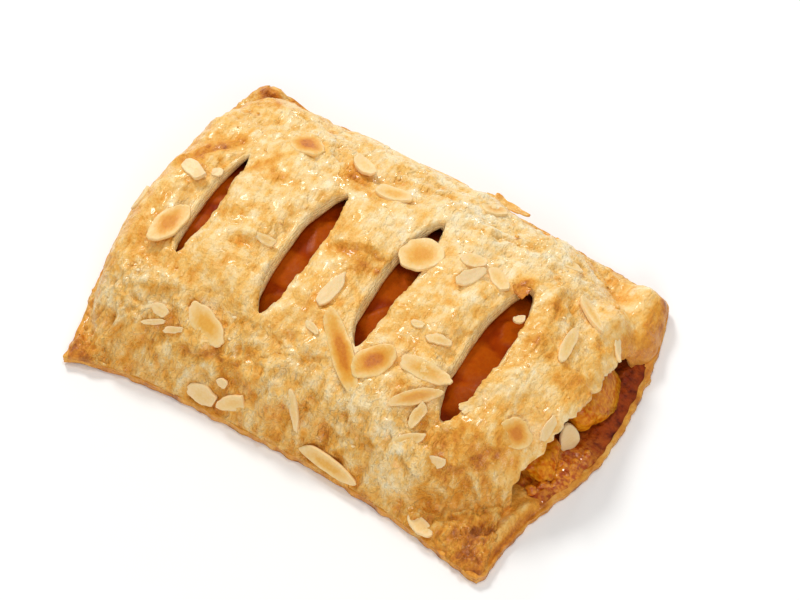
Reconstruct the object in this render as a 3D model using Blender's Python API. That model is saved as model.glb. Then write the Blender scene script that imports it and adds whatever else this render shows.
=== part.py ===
"""A pear puff pastry: a slashed pillow of puff pastry, baked round a pear filling.

The pastry's long side runs along X, with the open mouth at +X, and it rests on z = 0.
Sizes are in millimetres; new_object() turns them into metres.
"""
import math

import bmesh
import bpy
from mathutils import Matrix, Vector, noise

MM = 0.001

# --- The base sheet -----------------------------------------------------------------
CORNER_X = 61.5             # from the middle to a corner, along the length
END_BULGES = (8.8, 8.2)     # how far the left end and the mouth's lip bow out
LEFT_FALL = (1.7, 0.6)      # how fast a bow dies out toward the front and back corners
RIGHT_FALL = (4.0, 1.0)
FRONT_WAIST = 42.5          # half width at mid length: the front side draws in
BACK_WAIST = 49.4           # and the back side hardly does
FRONT_CORNERS = (48.6, 50.2)    # half widths at the left and right corners
BACK_CORNERS = (49.0, 45.2)
FRONT_FLARE = (5.0, 2.0)    # how late each half of a side turns to its corner
BACK_FLARE = (4.0, 1.3)
BASE_THICKNESS = 2.4
BASE_LIP = 0.6              # the base sheet shows beyond the lid all round
FRONT_TAB_LIFTS = (0.6, 0.0)    # the corner tabs curl up off the tray, left and right
BACK_TAB_LIFTS = (4.0, 1.0)
TAB_SHARE = 0.24            # of the half length and half width that a tab takes
CORNER_ROUNDING = 0.014     # of the half length and half width
CORNER_TIGHTNESS = 24       # the higher, the nearer to its tip a corner is rounded
BOW_START = 0.79            # share of the half length past which the ends bow out

# --- The lid: one sheet that domes over the filling ---------------------------------
CROWN_HEIGHT = 26.5         # highest point of the smooth dome
RIM_HEIGHT = 3.4            # top of the sealed rim, before the fillet at the dome's foot
FOOT_SOFTNESS = 0.035       # fillet between dome and rim
SHEET_THICKNESS = 3.0
SEAL_REACH = 1.5            # the two sheets stick where they come this close
EMBED_DEPTH = 1.2           # the lid's sealed underside ends this deep in the base sheet
MOUTH_SETBACK = 7.0         # the lid's free edge lies this far behind the base's lip
MOUTH_SPAN = (-1.0, 0.7)    # shares of the half widths between which the edge is set back
MOUTH_RAMPS = (0.5, 0.3)    # how softly it starts, at the front and at the back
FOLD_RISE = 6.0             # extra dough where the lid folds down behind the mouth
FOLD_START = (49.0, 16.0)   # the fold lies past this X and this Y
FOLD_RAMP = 9.0
FOLD_ROLLS = (9.0, 6.0)     # how far from the end and the side it rounds down
DOME_MARGIN = 1.5           # sealed rim outside the dome's foot
MOUTH_REACH = 71.0          # where the dome would close if the mouth didn't cut it off
MOUTH_SHIFT = -3.5          # the mouth's arch is nearer the front than the back
MOUTH_SHIFT_SPAN = (-20.0, 60.0)    # along which the crown line swings to the front
ROUNDNESS_LEFT = (3.2, 2.5)     # of the dome's corners, front and back: 2 is an ellipse
ROUNDNESS_RIGHT = (1.1, 1.7)
LEFT_SHOULDER = 5.6         # the higher, the flatter the top and the steeper the end
RIGHT_SHOULDER = 2.3
SIDE_SHOULDER = 1.15
DOME_POWER = 2.0            # how late the dome falls off toward its foot
DOME_ROOT = 1.75            # how steeply it meets the rim
NORMAL_STEP = 0.5           # over which the dome's slope is measured

# --- The four slits across the lid --------------------------------------------------
SLIT_PLACES = ((-46.4, -1.2), (-18.2, -2.0), (7.4, 2.6), (36.2, -3.0))
SLIT_LENGTHS = (35.0, 43.0, 44.0, 45.0)
SLIT_HALVES = ((4.4, 2.0), (6.4, 2.6), (6.4, 2.8), (6.2, 4.6))  # to the left and right
SLIT_END_POWER = 2.4        # how late a slit narrows toward its ends
SLIT_END_ROUNDING = 0.6     # the lower, the blunter the ends
WALL_LEAN = 1.6             # a slit's left wall slopes in under its top edge
LEAN_REACH = 1.0
SLIT_LINE_WIDTH = 0.3       # how near a slit's line a point counts as on it
SLIT_REACH = 12.5           # how far from a slit the sheet is pushed aside
EDGE_DROOP = 1.6            # the strips' edges sink into the slits
DROOP_REACH = 3.2
STRIP_SWELL = 1.4           # and their middles puff up
SWELL_REACH = 6.0

# --- Uneven surface -----------------------------------------------------------------
LUMP_HEIGHT = 1.0
LUMP_SIZE = 17.0
WRINKLE_HEIGHT = 0.7
WRINKLE_SIZE = 8.0
WRINKLE_SEED = 40.0         # depth in the noise at which the wrinkles are read

# --- Mesh fineness ------------------------------------------------------------------
ROWS = 32                   # cells across the width
STRIP_CELLS = 6             # cells along the length between two slits
END_CELLS = 8               # cells from an outer slit to its end
END_CROWDING = 1.5          # how far the columns gather at the steep ends
EDGE_CROWDING = 0.55        # how far the rows gather at the steep sides
BASE_RINGS = 3              # round the flat middle of the base sheet

# --- The filling --------------------------------------------------------------------
FIT_GAP = 0.35
FILLING_SINK = 2.0          # clear of the drooping edges of the slits
FILLING_SHARE = 0.95        # of the dome's footprint
FILLING_FOOT = 0.9          # least height of the filling at its edge
MOUTH_FACE = 53.0           # the filling's face in the mouth
FILLING_END = 0.5           # the filling's blunt left end, short of the dome's foot
FILLING_CELLS = (26, 16)
FILLING_CROWDING = 0.4      # how far its columns gather at the left end
FOOT_SEARCH_STEPS = 30

# --- Pear chunks in the mouth: middle, half sizes, turn about Z in degrees ----------
CHUNKS = (
    ("pear_chunk_big", (60.4, 8.4, 8.2), (5.6, 10.2, 5.6), -8.0),
    ("pear_chunk_small", (58.2, -13.2, 6.2), (3.9, 6.0, 3.6), 12.0),
)
CHUNK_LUMP = 0.7
CHUNK_LUMP_SIZE = 6.0
CHUNK_SQUARENESS = 3.0      # 2 is an egg, more is a cube with soft edges

# --- Almond flakes on the lid -------------------------------------------------------
FLAKE_SINK = 0.5
FLAKE_THICKNESS = 1.4
FLAKE_SIDES = 10
FLAKE_POINT = 0.3           # one end is narrower, as on a sliced almond
FLAKE_SAG = 0.6             # how far a flake follows the curve of the lid
ALMOND_FLAKES = (           # middle, length and width, turn in degrees
    ((-52.0, -12.0), (14.5, 7.5), 74.0),
    ((-55.0, 4.0), (9.5, 4.5), -17.0),
    ((-36.0, 27.5), (9.5, 9.0), -10.0),
    ((-20.0, 29.5), (8.5, 4.0), -27.0),
    ((-8.5, 25.0), (10.5, 5.5), 10.0),
    ((7.6, 11.9), (12.0, 10.5), 52.0),
    ((20.0, 17.0), (7.0, 4.5), 24.0),
    ((22.0, 12.0), (9.0, 3.8), 62.0),
    ((28.0, 16.0), (8.5, 4.5), -34.0),
    ((51.5, 10.0), (12.5, 4.0), 95.0),
    ((51.0, 22.5), (12.5, 3.4), -26.0),
    ((-29.5, -30.0), (14.0, 7.0), -30.0),
    ((-42.0, -32.0), (5.5, 3.5), -9.0),
    ((-24.0, -41.0), (9.0, 6.5), -2.0),
    ((-15.0, -40.0), (11.0, 5.0), 61.0),
    ((0.7, -37.0), (10.5, 3.2), -71.0),
    ((-5.5, -9.0), (11.0, 4.6), 83.0),
    ((5.3, -22.0), (23.5, 6.6), -46.0),
    ((14.0, -20.5), (13.0, 9.0), 58.0),
    ((26.5, -17.0), (15.0, 6.0), 6.0),
    ((28.0, -23.6), (14.5, 3.8), 44.0),
    ((31.0, -32.5), (10.0, 4.0), 52.0),
    ((38.5, -33.5), (7.5, 4.0), 35.0),
    ((53.0, -18.0), (9.5, 7.5), -8.0),
    ((58.8, -12.0), (8.5, 2.8), 98.0),
    ((14.0, -42.0), (17.5, 5.0), -13.0),
    ((42.0, -45.0), (8.5, 4.2), -13.0),
    ((-44.0, 38.0), (9.0, 6.0), 20.0),
    ((-14.0, 41.0), (11.0, 5.0), -15.0),
    ((13.0, 39.0), (8.5, 6.5), 60.0),
    ((37.0, 34.0), (10.0, 4.5), 10.0),
    ((-65.0, -6.0), (8.0, 5.0), 80.0),
)

DOUGH = ("baked_dough", (0.86, 0.62, 0.30), 0.55)
FRUIT = ("baked_fruit", (0.42, 0.12, 0.02), 0.25)
PEAR = ("pear_flesh", (0.62, 0.36, 0.10), 0.35)


def blend(low, high, share):
    return low + (high - low) * share


def smooth_step(value):
    value = min(max(value, 0.0), 1.0)
    return value * value * (3.0 - 2.0 * value)


# --- Outline ------------------------------------------------------------------------
# A place on a sheet is given as two shares: along, from -1 at the left end to 1 at the
# mouth, and across, from -1 at the front side to 1 at the back.
def end_bow(across, right):
    fall = (RIGHT_FALL if right else LEFT_FALL)[across > 0.0]
    return END_BULGES[right] * max(1.0 - across * across, 0.0) ** fall


def mouth_window(across):
    """One along the lid's free edge, fading to nought where the lid is sealed."""
    from_front = (across - MOUTH_SPAN[0]) / MOUTH_RAMPS[0]
    from_back = (MOUTH_SPAN[1] - across) / MOUTH_RAMPS[1]
    return smooth_step(from_front) * smooth_step(from_back)


def half_width(along, back):
    right = along > 0.0
    waist = BACK_WAIST if back else FRONT_WAIST
    corner = (BACK_CORNERS if back else FRONT_CORNERS)[right]
    power = (BACK_FLARE if back else FRONT_FLARE)[right]
    return blend(waist, corner, min(abs(along), 1.0) ** power)


def sheet_place(along, across, setback=0.0, lip=0.0):
    """X and Y of a place on the lid or the base sheet, with softly rounded corners."""
    right = along > 0.0
    near_corner = abs(along * across) ** CORNER_TIGHTNESS
    pull = 1.0 - CORNER_ROUNDING * near_corner
    bow = end_bow(across, right)
    if right:
        bow -= setback * mouth_window(across)
    bowed = max((abs(along) - BOW_START) / (1.0 - BOW_START), 0.0) ** 2
    x = along * (CORNER_X + lip) + bow * bowed * math.copysign(1.0, along)
    y = across * (half_width(along, across > 0.0) + lip)
    return x * pull, y * pull


def tab_closeness(x, y):
    """One at a corner's tip, nought away from it."""
    along = abs(x) / CORNER_X
    across = abs(y) / half_width(x / CORNER_X, y > 0.0)
    return smooth_step((along - 1.0 + TAB_SHARE) / TAB_SHARE) * smooth_step(
        (across - 1.0 + TAB_SHARE) / TAB_SHARE)


def tab_lift(x, y):
    return tab_closeness(x, y) * (BACK_TAB_LIFTS if y > 0.0 else FRONT_TAB_LIFTS)[x > 0.0]


# --- Dome ---------------------------------------------------------------------------
def dome_norm(x, y):
    """Nought at the dome's crown, one where its foot meets the rim."""
    along = min(max(x / CORNER_X, -1.0), 1.0)
    across = min(max(y / BACK_WAIST, -1.0), 1.0)
    swing_start, swing_end = MOUTH_SHIFT_SPAN
    toward_mouth = smooth_step((x - swing_start) / (swing_end - swing_start))
    y_here = y - MOUTH_SHIFT * toward_mouth * (1.0 - abs(across))
    if x > 0.0:
        length_share = (x / MOUTH_REACH) ** RIGHT_SHOULDER
    else:
        length_share = (-x / (CORNER_X + end_bow(across, False) - DOME_MARGIN)) ** LEFT_SHOULDER
    width_share = (abs(y_here) / (half_width(along, y > 0.0) - DOME_MARGIN)) ** SIDE_SHOULDER
    from_front = smooth_step((across + 1.0) / 2.0)
    left = blend(*ROUNDNESS_LEFT, from_front)
    right = blend(*ROUNDNESS_RIGHT, from_front)
    power = blend(left, right, smooth_step((along + 1.0) / 2.0))
    return (length_share ** power + width_share ** power) ** (1.0 / power)


def dome_height(x, y):
    room = 1.0 - dome_norm(x, y) ** DOME_POWER
    room = 0.5 * (room + math.sqrt(room * room + FOOT_SOFTNESS ** 2))
    return RIM_HEIGHT + (CROWN_HEIGHT - RIM_HEIGHT) * room ** (1.0 / DOME_ROOT)


def dome_normal(x, y):
    step = NORMAL_STEP
    rise_x = dome_height(x + step, y) - dome_height(x - step, y)
    rise_y = dome_height(x, y + step) - dome_height(x, y - step)
    return Vector((-rise_x, -rise_y, 2.0 * step)).normalized()


# --- Slits --------------------------------------------------------------------------
def slit_opening(slit, y):
    """Share of a slit's full width at a place across, nought beyond its ends."""
    reach = abs(y - SLIT_PLACES[slit][1]) / (SLIT_LENGTHS[slit] / 2.0)
    return max(1.0 - reach ** SLIT_END_POWER, 0.0) ** SLIT_END_ROUNDING


def pushed_aside(x, y, side):
    """X once the slits have opened; side says which edge a point on a slit belongs to."""
    for slit, (slit_x, _) in enumerate(SLIT_PLACES):
        away = x - slit_x
        if abs(away) < SLIT_REACH:
            direction = side if abs(away) < SLIT_LINE_WIDTH else math.copysign(1.0, away)
            half_gap = SLIT_HALVES[slit][direction > 0.0] * slit_opening(slit, y)
            return x + direction * half_gap * (1.0 - abs(away) / SLIT_REACH)
    return x


def strip_relief(x, y):
    """The strips between slits puff up, and their edges sink."""
    relief = 0.0
    for slit, (slit_x, _) in enumerate(SLIT_PLACES):
        opening = slit_opening(slit, y)
        away = max(abs(x - slit_x) - SLIT_HALVES[slit][x > slit_x] * opening, 0.0)
        if away < SLIT_REACH:
            swell = STRIP_SWELL * (1.0 - math.exp(-(away / SWELL_REACH) ** 2))
            fade = 1.0 - smooth_step(away / SLIT_REACH)
            droop = EDGE_DROOP * math.exp(-(away / DROOP_REACH) ** 2)
            relief += opening * (swell * fade - droop)
    return relief


def wall_lean(x, y):
    """How far the underside reaches into a slit, below a point on its left edge."""
    lean = 0.0
    for slit, (slit_x, _) in enumerate(SLIT_PLACES):
        opening = slit_opening(slit, y)
        away = x - (slit_x - SLIT_HALVES[slit][0] * opening)
        lean += WALL_LEAN * opening * math.exp(-(away / LEAN_REACH) ** 2)
    return lean


def uneven(x, y):
    lumps = LUMP_HEIGHT * noise.noise(Vector((x, y, 0.0)) / LUMP_SIZE)
    wrinkles = WRINKLE_HEIGHT * noise.noise(Vector((x, y, WRINKLE_SEED)) / WRINKLE_SIZE)
    return lumps + wrinkles


def fold_rise(x, y):
    """The fold behind the mouth: a roll of dough that rounds down to the rim."""
    start_x, start_y = FOLD_START
    rise = smooth_step((x - start_x) / FOLD_RAMP) * smooth_step((y - start_y) / FOLD_RAMP)
    if rise == 0.0:
        return 0.0
    side = half_width(x / CORNER_X, True)
    across = min(y / side, 1.0)
    end = CORNER_X + end_bow(across, True) - MOUTH_SETBACK * mouth_window(across)
    near_end = min(max(1.0 - (end - x) / FOLD_ROLLS[0], 0.0), 1.0)
    near_side = min(max(1.0 - (side - y) / FOLD_ROLLS[1], 0.0), 1.0)
    return FOLD_RISE * rise * math.sqrt((1.0 - near_end ** 2) * (1.0 - near_side ** 2))


def lid_height(x, y):
    height = dome_height(x, y) + fold_rise(x, y) + tab_lift(x, y)
    return height + strip_relief(x, y) + uneven(x, y)


# --- Solids -------------------------------------------------------------------------
def new_material(name, colour, roughness):
    material = bpy.data.materials.new(name)
    material.use_nodes = True
    shader = material.node_tree.nodes["Principled BSDF"]
    shader.inputs["Base Color"].default_value = (*colour, 1.0)
    shader.inputs["Roughness"].default_value = roughness
    shader.inputs["Metallic"].default_value = 0.0
    return material


def new_object(name, bm, finish=None):
    """Puts a mesh drawn in millimetres into the scene, in metres."""
    bmesh.ops.scale(bm, vec=(MM, MM, MM), verts=bm.verts)
    mesh = bpy.data.meshes.new(name)
    bm.to_mesh(mesh)
    bm.free()
    thing = bpy.data.objects.new(name, mesh)
    bpy.context.scene.collection.objects.link(thing)
    if finish:
        mesh.materials.append(new_material(*finish))
    return thing


def apply_modifiers(thing):
    """Replaces an object's mesh by what its modifiers make of it."""
    depsgraph = bpy.context.evaluated_depsgraph_get()
    evaluated = thing.evaluated_get(depsgraph)
    shaped = bpy.data.meshes.new_from_object(evaluated)
    thing.modifiers.clear()
    thing.data = shaped


def sheet_grid(along_stops, across_stops):
    """A flat grid with a vertex at each pair of stops, as a bmesh in millimetres."""
    bm = bmesh.new()
    columns = len(along_stops) - 1
    rows = len(across_stops) - 1
    bmesh.ops.create_grid(bm, x_segments=columns, y_segments=rows, size=1.0)
    for vertex in bm.verts:
        column = round((vertex.co.x + 1.0) / 2.0 * columns)
        row = round((vertex.co.y + 1.0) / 2.0 * rows)
        vertex.co = (along_stops[column], across_stops[row], 0.0)
    return bm


def along_stops():
    """Columns of the lid: one on each slit, and closer together at the steep ends."""
    slits = [slit_x / CORNER_X for slit_x, _ in SLIT_PLACES]
    stops = []
    for cell in range(END_CELLS):
        stops.append(blend(-1.0, slits[0], (cell / END_CELLS) ** END_CROWDING))
    for left, right in zip(slits, slits[1:]):
        for cell in range(STRIP_CELLS):
            stops.append(blend(left, right, cell / STRIP_CELLS))
    for cell in range(END_CELLS + 1):
        stops.append(blend(1.0, slits[-1], (1.0 - cell / END_CELLS) ** END_CROWDING))
    return stops


def across_stops():
    stops = []
    for row in range(ROWS + 1):
        even = 2.0 * row / ROWS - 1.0
        stops.append(blend(even, math.sin(even * math.pi / 2.0), EDGE_CROWDING))
    return stops


def make_lid():
    bm = sheet_grid(along_stops(), across_stops())
    for vertex in bm.verts:
        x, y = sheet_place(vertex.co.x, vertex.co.y, setback=MOUTH_SETBACK)
        vertex.co = (x, y, 0.0)
    seams = [edge for edge in bm.edges if on_a_slit(edge)]
    bmesh.ops.split_edges(bm, edges=seams)
    sides = [side_of_seam(vertex) for vertex in bm.verts]
    for vertex, side in zip(bm.verts, sides):
        vertex.co.x = pushed_aside(vertex.co.x, vertex.co.y, side)
        vertex.co.z = lid_height(vertex.co.x, vertex.co.y)
    outside_count = len(bm.verts)
    lid = new_object("lid", bm)
    wall = lid.modifiers.new("wall", "SOLIDIFY")
    wall.thickness = SHEET_THICKNESS * MM
    wall.offset = -1.0
    apply_modifiers(lid)
    seal_underside(lid, outside_count)
    return lid


def on_a_slit(edge):
    """True for an edge that lies on a slit's line, between the slit's ends."""
    start, end = (vertex.co for vertex in edge.verts)
    for slit, (slit_x, _) in enumerate(SLIT_PLACES):
        on_line = max(abs(start.x - slit_x), abs(end.x - slit_x)) < SLIT_LINE_WIDTH
        if on_line and slit_opening(slit, (start.y + end.y) / 2.0) > 0.0:
            return True
    return False


def side_of_seam(vertex):
    """On a slit's line, which of the slit's two edges a vertex belongs to."""
    middles = [face.calc_center_median().x for face in vertex.link_faces]
    return math.copysign(1.0, sum(middles) / len(middles) - vertex.co.x)


def seal_underside(lid, count):
    """Sinks the lid's underside into the base sheet wherever the two sheets meet."""
    vertices = lid.data.vertices
    for outside, under in zip(vertices[:count], vertices[count:]):
        x, y = outside.co.x / MM, outside.co.y / MM
        base_top = BASE_THICKNESS + tab_lift(x, y)
        if under.co.z / MM < base_top + SEAL_REACH or dome_norm(x, y) > 1.0:
            under.co = (outside.co.x, outside.co.y, (base_top - EMBED_DEPTH) * MM)
        else:
            under.co.x += wall_lean(x, y) * MM


def make_base_sheet():
    """Rings from the outline in to a flat middle, so that only the tabs curl up."""
    sides = along_stops(), across_stops()
    outline = [(along, -1.0) for along in sides[0][:-1]]
    outline += [(1.0, across) for across in sides[1][:-1]]
    outline += [(along, 1.0) for along in sides[0][:0:-1]]
    outline += [(-1.0, across) for across in sides[1][:0:-1]]
    bm = bmesh.new()
    outer = None
    for ring in range(BASE_RINGS + 1):
        share = 1.0 - TAB_SHARE * ring / BASE_RINGS
        inner = []
        for along, across in outline:
            x, y = sheet_place(share * along, share * across, lip=BASE_LIP)
            inner.append(bm.verts.new((x, y, tab_lift(x, y))))
        if outer:
            for here in range(len(outline)):
                there = (here + 1) % len(outline)
                bm.faces.new((outer[here], outer[there], inner[there], inner[here]))
        outer = inner
    bm.faces.new(outer)
    raised = bmesh.ops.extrude_face_region(bm, geom=bm.faces[:])["geom"]
    for item in raised:
        if isinstance(item, bmesh.types.BMVert):
            item.co.z += BASE_THICKNESS
    bmesh.ops.recalc_face_normals(bm, faces=bm.faces)
    return new_object("base_sheet", bm)


def make_flake(name, middle, size, turn):
    """A sliced almond: an oval plate with one narrower end, laid on the lid."""
    bm = bmesh.new()
    bmesh.ops.create_circle(bm, cap_ends=True, segments=FLAKE_SIDES, radius=0.5)
    for vertex in bm.verts:
        narrowing = 1.0 - FLAKE_POINT * (vertex.co.x + 0.5)
        vertex.co = (vertex.co.x * size[0], vertex.co.y * size[1] * narrowing, 0.0)
    raised = bmesh.ops.extrude_face_region(bm, geom=bm.faces[:])["geom"]
    for item in raised:
        if isinstance(item, bmesh.types.BMVert):
            item.co.z += FLAKE_THICKNESS
    bmesh.ops.recalc_face_normals(bm, faces=bm.faces)
    x, y = middle
    up = dome_normal(x, y)
    forward = Vector((math.cos(math.radians(turn)), math.sin(math.radians(turn)), 0.0))
    sideways = up.cross(forward).normalized()
    forward = sideways.cross(up)
    rotation = Matrix((forward, sideways, up)).transposed().to_4x4()
    place = Matrix.Translation((x, y, lid_height(x, y)))
    for vertex in bm.verts:
        height = vertex.co.z - FLAKE_SINK
        vertex.co.z = height
        laid = place @ rotation @ vertex.co
        curved = lid_height(laid.x, laid.y) + height / up.z
        laid.z = blend(laid.z, curved, FLAKE_SAG * up.z ** 2)
        vertex.co = laid
    return new_object(name, bm)


def keep_outer_shell(thing):
    """Fills the small hollows that the union sealed in, and drops loose scraps."""
    bm = bmesh.new()
    bm.from_mesh(thing.data)
    unseen = set(bm.faces)
    shells = []
    while unseen:
        shell = []
        waiting = [unseen.pop()]
        while waiting:
            face = waiting.pop()
            shell.append(face)
            for edge in face.edges:
                for neighbour in edge.link_faces:
                    if neighbour in unseen:
                        unseen.remove(neighbour)
                        waiting.append(neighbour)
        shells.append(shell)
    shells.sort(key=len)
    for shell in shells[:-1]:
        bmesh.ops.delete(bm, geom=shell, context="FACES")
    bm.to_mesh(thing.data)
    bm.free()


def make_pastry():
    """The lid, with the base sheet and the almond flakes joined to it in one union."""
    pastry = make_lid()
    pastry.name = "pastry"
    pastry.data.materials.append(new_material(*DOUGH))
    additions = bpy.data.collections.new("additions")
    bpy.context.scene.collection.children.link(additions)
    parts = [make_base_sheet()]
    for number, (middle, size, turn) in enumerate(ALMOND_FLAKES):
        parts.append(make_flake("flake_%d" % number, middle, size, turn))
    for part in parts:
        bpy.context.scene.collection.objects.unlink(part)
        additions.objects.link(part)
    union = pastry.modifiers.new("union", "BOOLEAN")
    union.operation = "UNION"
    union.operand_type = "COLLECTION"
    union.collection = additions
    union.solver = "EXACT"
    apply_modifiers(pastry)
    keep_outer_shell(pastry)
    for part in parts:
        bpy.data.objects.remove(part)
    bpy.data.collections.remove(additions)
    return pastry


# --- Filling and chunks -------------------------------------------------------------
def foot_width(x, back):
    """How far from the middle line the filling reaches, at a place along the length."""
    near, far = 0.0, BACK_WAIST
    for _ in range(FOOT_SEARCH_STEPS):
        middle = (near + far) / 2.0
        if dome_norm(x, middle if back else -middle) < FILLING_SHARE:
            near = middle
        else:
            far = middle
    return near


def under_lid(x, y):
    """The point of the filling that lies under a place on the dome."""
    depth = SHEET_THICKNESS + FIT_GAP + FILLING_SINK
    point = Vector((x, y, dome_height(x, y))) - dome_normal(x, y) * depth
    point.z = max(point.z, BASE_THICKNESS + FIT_GAP + FILLING_FOOT)
    return point


def make_filling():
    columns, rows = FILLING_CELLS
    left = -(CORNER_X + END_BULGES[0] - DOME_MARGIN) * FILLING_SHARE ** (1.0 / LEFT_SHOULDER)
    left += FILLING_END
    stops = []
    for column in range(columns + 1):
        share = column / columns
        stops.append(blend(left, MOUTH_FACE, blend(share, share * share, FILLING_CROWDING)))
    bm = sheet_grid(stops, [2.0 * row / rows - 1.0 for row in range(rows + 1)])
    for vertex in bm.verts:
        x, across = vertex.co.x, vertex.co.y
        y = across * foot_width(x, across > 0.0)
        point = under_lid(x, y)
        if x == stops[-1]:
            point.x = MOUTH_FACE
        vertex.co = point
    outline = [edge for edge in bm.edges if edge.is_boundary]
    skirt = bmesh.ops.extrude_edge_only(bm, edges=outline)["geom"]
    bottom = [item for item in skirt if isinstance(item, bmesh.types.BMEdge)]
    for item in skirt:
        if isinstance(item, bmesh.types.BMVert):
            item.co.z = BASE_THICKNESS + FIT_GAP
    bmesh.ops.contextual_create(bm, geom=bottom)
    bmesh.ops.recalc_face_normals(bm, faces=bm.faces)
    return new_object("filling", bm, FRUIT)


def ceiling(x, y):
    """How high a chunk may reach under the lid's uneven underside."""
    room = SHEET_THICKNESS / dome_normal(x, y).z + FIT_GAP + LUMP_HEIGHT
    return dome_height(x, y) - room


def make_chunk(name, middle, half_sizes, turn):
    """A soft-edged lump of pear that lies on the base sheet, pressed under the lid."""
    bm = bmesh.new()
    bmesh.ops.create_icosphere(bm, subdivisions=2, radius=1.0)
    turned = Matrix.Rotation(math.radians(turn), 3, "Z")
    for vertex in bm.verts:
        direction = vertex.co.normalized()
        power = CHUNK_SQUARENESS
        norm = sum(abs(value) ** power for value in direction) ** (1.0 / power)
        point = Vector([value / norm * half for value, half in zip(direction, half_sizes)])
        lump = CHUNK_LUMP * noise.noise((point + Vector(middle)) / CHUNK_LUMP_SIZE)
        point = turned @ (point + direction * lump) + Vector(middle)
        point.z = min(point.z, ceiling(point.x, point.y))
        point.z = max(point.z, BASE_THICKNESS + FIT_GAP)
        vertex.co = point
    return new_object(name, bm, PEAR)


def build_object():
    for old in list(bpy.data.objects):
        bpy.data.objects.remove(old)
    make_pastry()
    make_filling()
    for chunk in CHUNKS:
        make_chunk(*chunk)


build_object()
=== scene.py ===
"""Looks of a pear puff pastry: flaky egg-washed dough over a glossy pear filling.

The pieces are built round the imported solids, in their frame: the pastry's long side runs
along X, with the open mouth at +X, and it rests on z = 0. Lengths are in millimetres, and
finish_piece() turns a finished mesh into metres.
"""
import math
import random

import bpy
from mathutils import Matrix, Vector, noise


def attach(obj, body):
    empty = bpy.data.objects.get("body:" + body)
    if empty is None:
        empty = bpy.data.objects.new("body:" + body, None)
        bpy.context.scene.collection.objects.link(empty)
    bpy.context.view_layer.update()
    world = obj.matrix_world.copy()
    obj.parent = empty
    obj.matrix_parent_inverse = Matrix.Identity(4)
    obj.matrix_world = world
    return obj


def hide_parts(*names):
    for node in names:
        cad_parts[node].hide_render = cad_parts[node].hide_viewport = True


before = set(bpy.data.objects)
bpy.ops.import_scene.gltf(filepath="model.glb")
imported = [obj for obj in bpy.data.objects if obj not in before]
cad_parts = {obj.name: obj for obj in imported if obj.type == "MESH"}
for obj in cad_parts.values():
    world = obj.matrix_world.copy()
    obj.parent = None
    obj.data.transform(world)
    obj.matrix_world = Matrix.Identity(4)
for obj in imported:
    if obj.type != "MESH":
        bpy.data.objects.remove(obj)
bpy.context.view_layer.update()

MM = 0.001

# --- The solids' own dimensions -----------------------------------------------------
# The base sheet
CORNER_X = 61.5             # from the middle to a corner, along the length
END_BULGES = (8.8, 8.2)     # how far the left end and the mouth's lip bow out
LEFT_FALL = (1.7, 0.6)      # how fast a bow dies out toward the front and back corners
RIGHT_FALL = (4.0, 1.0)
FRONT_WAIST = 42.5          # half width at mid length: the front side draws in
BACK_WAIST = 49.4           # and the back side hardly does
FRONT_CORNERS = (48.6, 50.2)    # half widths at the left and right corners
BACK_CORNERS = (49.0, 45.2)
FRONT_FLARE = (5.0, 2.0)    # how late each half of a side turns to its corner
BACK_FLARE = (4.0, 1.3)
BASE_THICKNESS = 2.4
BASE_LIP = 0.6              # the base sheet shows beyond the lid all round
FRONT_TAB_LIFTS = (0.6, 0.0)    # the corner tabs curl up off the tray, left and right
BACK_TAB_LIFTS = (4.0, 1.0)
TAB_SHARE = 0.24            # of the half length and half width that a tab takes
CORNER_ROUNDING = 0.014     # of the half length and half width
CORNER_TIGHTNESS = 24       # the higher, the nearer to its tip a corner is rounded
BOW_START = 0.79            # share of the half length past which the ends bow out

# The lid, one sheet that domes over the filling
CROWN_HEIGHT = 26.5         # highest point of the smooth dome
RIM_HEIGHT = 3.4            # top of the sealed rim, before the fillet at the dome's foot
FOOT_SOFTNESS = 0.035       # fillet between dome and rim
SHEET_THICKNESS = 3.0
SEAL_REACH = 1.5            # the two sheets stick where they come this close
EMBED_DEPTH = 1.2           # the lid's sealed underside ends this deep in the base sheet
MOUTH_SETBACK = 7.0         # the lid's free edge lies this far behind the base's lip
MOUTH_SPAN = (-1.0, 0.7)    # shares of the half widths between which the edge is set back
MOUTH_RAMPS = (0.5, 0.3)    # how softly it starts, at the front and at the back
FOLD_RISE = 6.0             # extra dough where the lid folds down behind the mouth
FOLD_START = (49.0, 16.0)   # the fold lies past this X and this Y
FOLD_RAMP = 9.0
FOLD_ROLLS = (9.0, 6.0)     # how far from the end and the side it rounds down
DOME_MARGIN = 1.5           # sealed rim outside the dome's foot
MOUTH_REACH = 71.0          # where the dome would close if the mouth didn't cut it off
MOUTH_SHIFT = -3.5          # the mouth's arch is nearer the front than the back
MOUTH_SHIFT_SPAN = (-20.0, 60.0)    # along which the crown line swings to the front
ROUNDNESS_LEFT = (3.2, 2.5)     # of the dome's corners, front and back: 2 is an ellipse
ROUNDNESS_RIGHT = (1.1, 1.7)
LEFT_SHOULDER = 5.6         # the higher, the flatter the top and the steeper the end
RIGHT_SHOULDER = 2.3
SIDE_SHOULDER = 1.15
DOME_POWER = 2.0            # how late the dome falls off toward its foot
DOME_ROOT = 1.75            # how steeply it meets the rim
NORMAL_STEP = 0.5           # over which the dome's slope is measured

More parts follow.
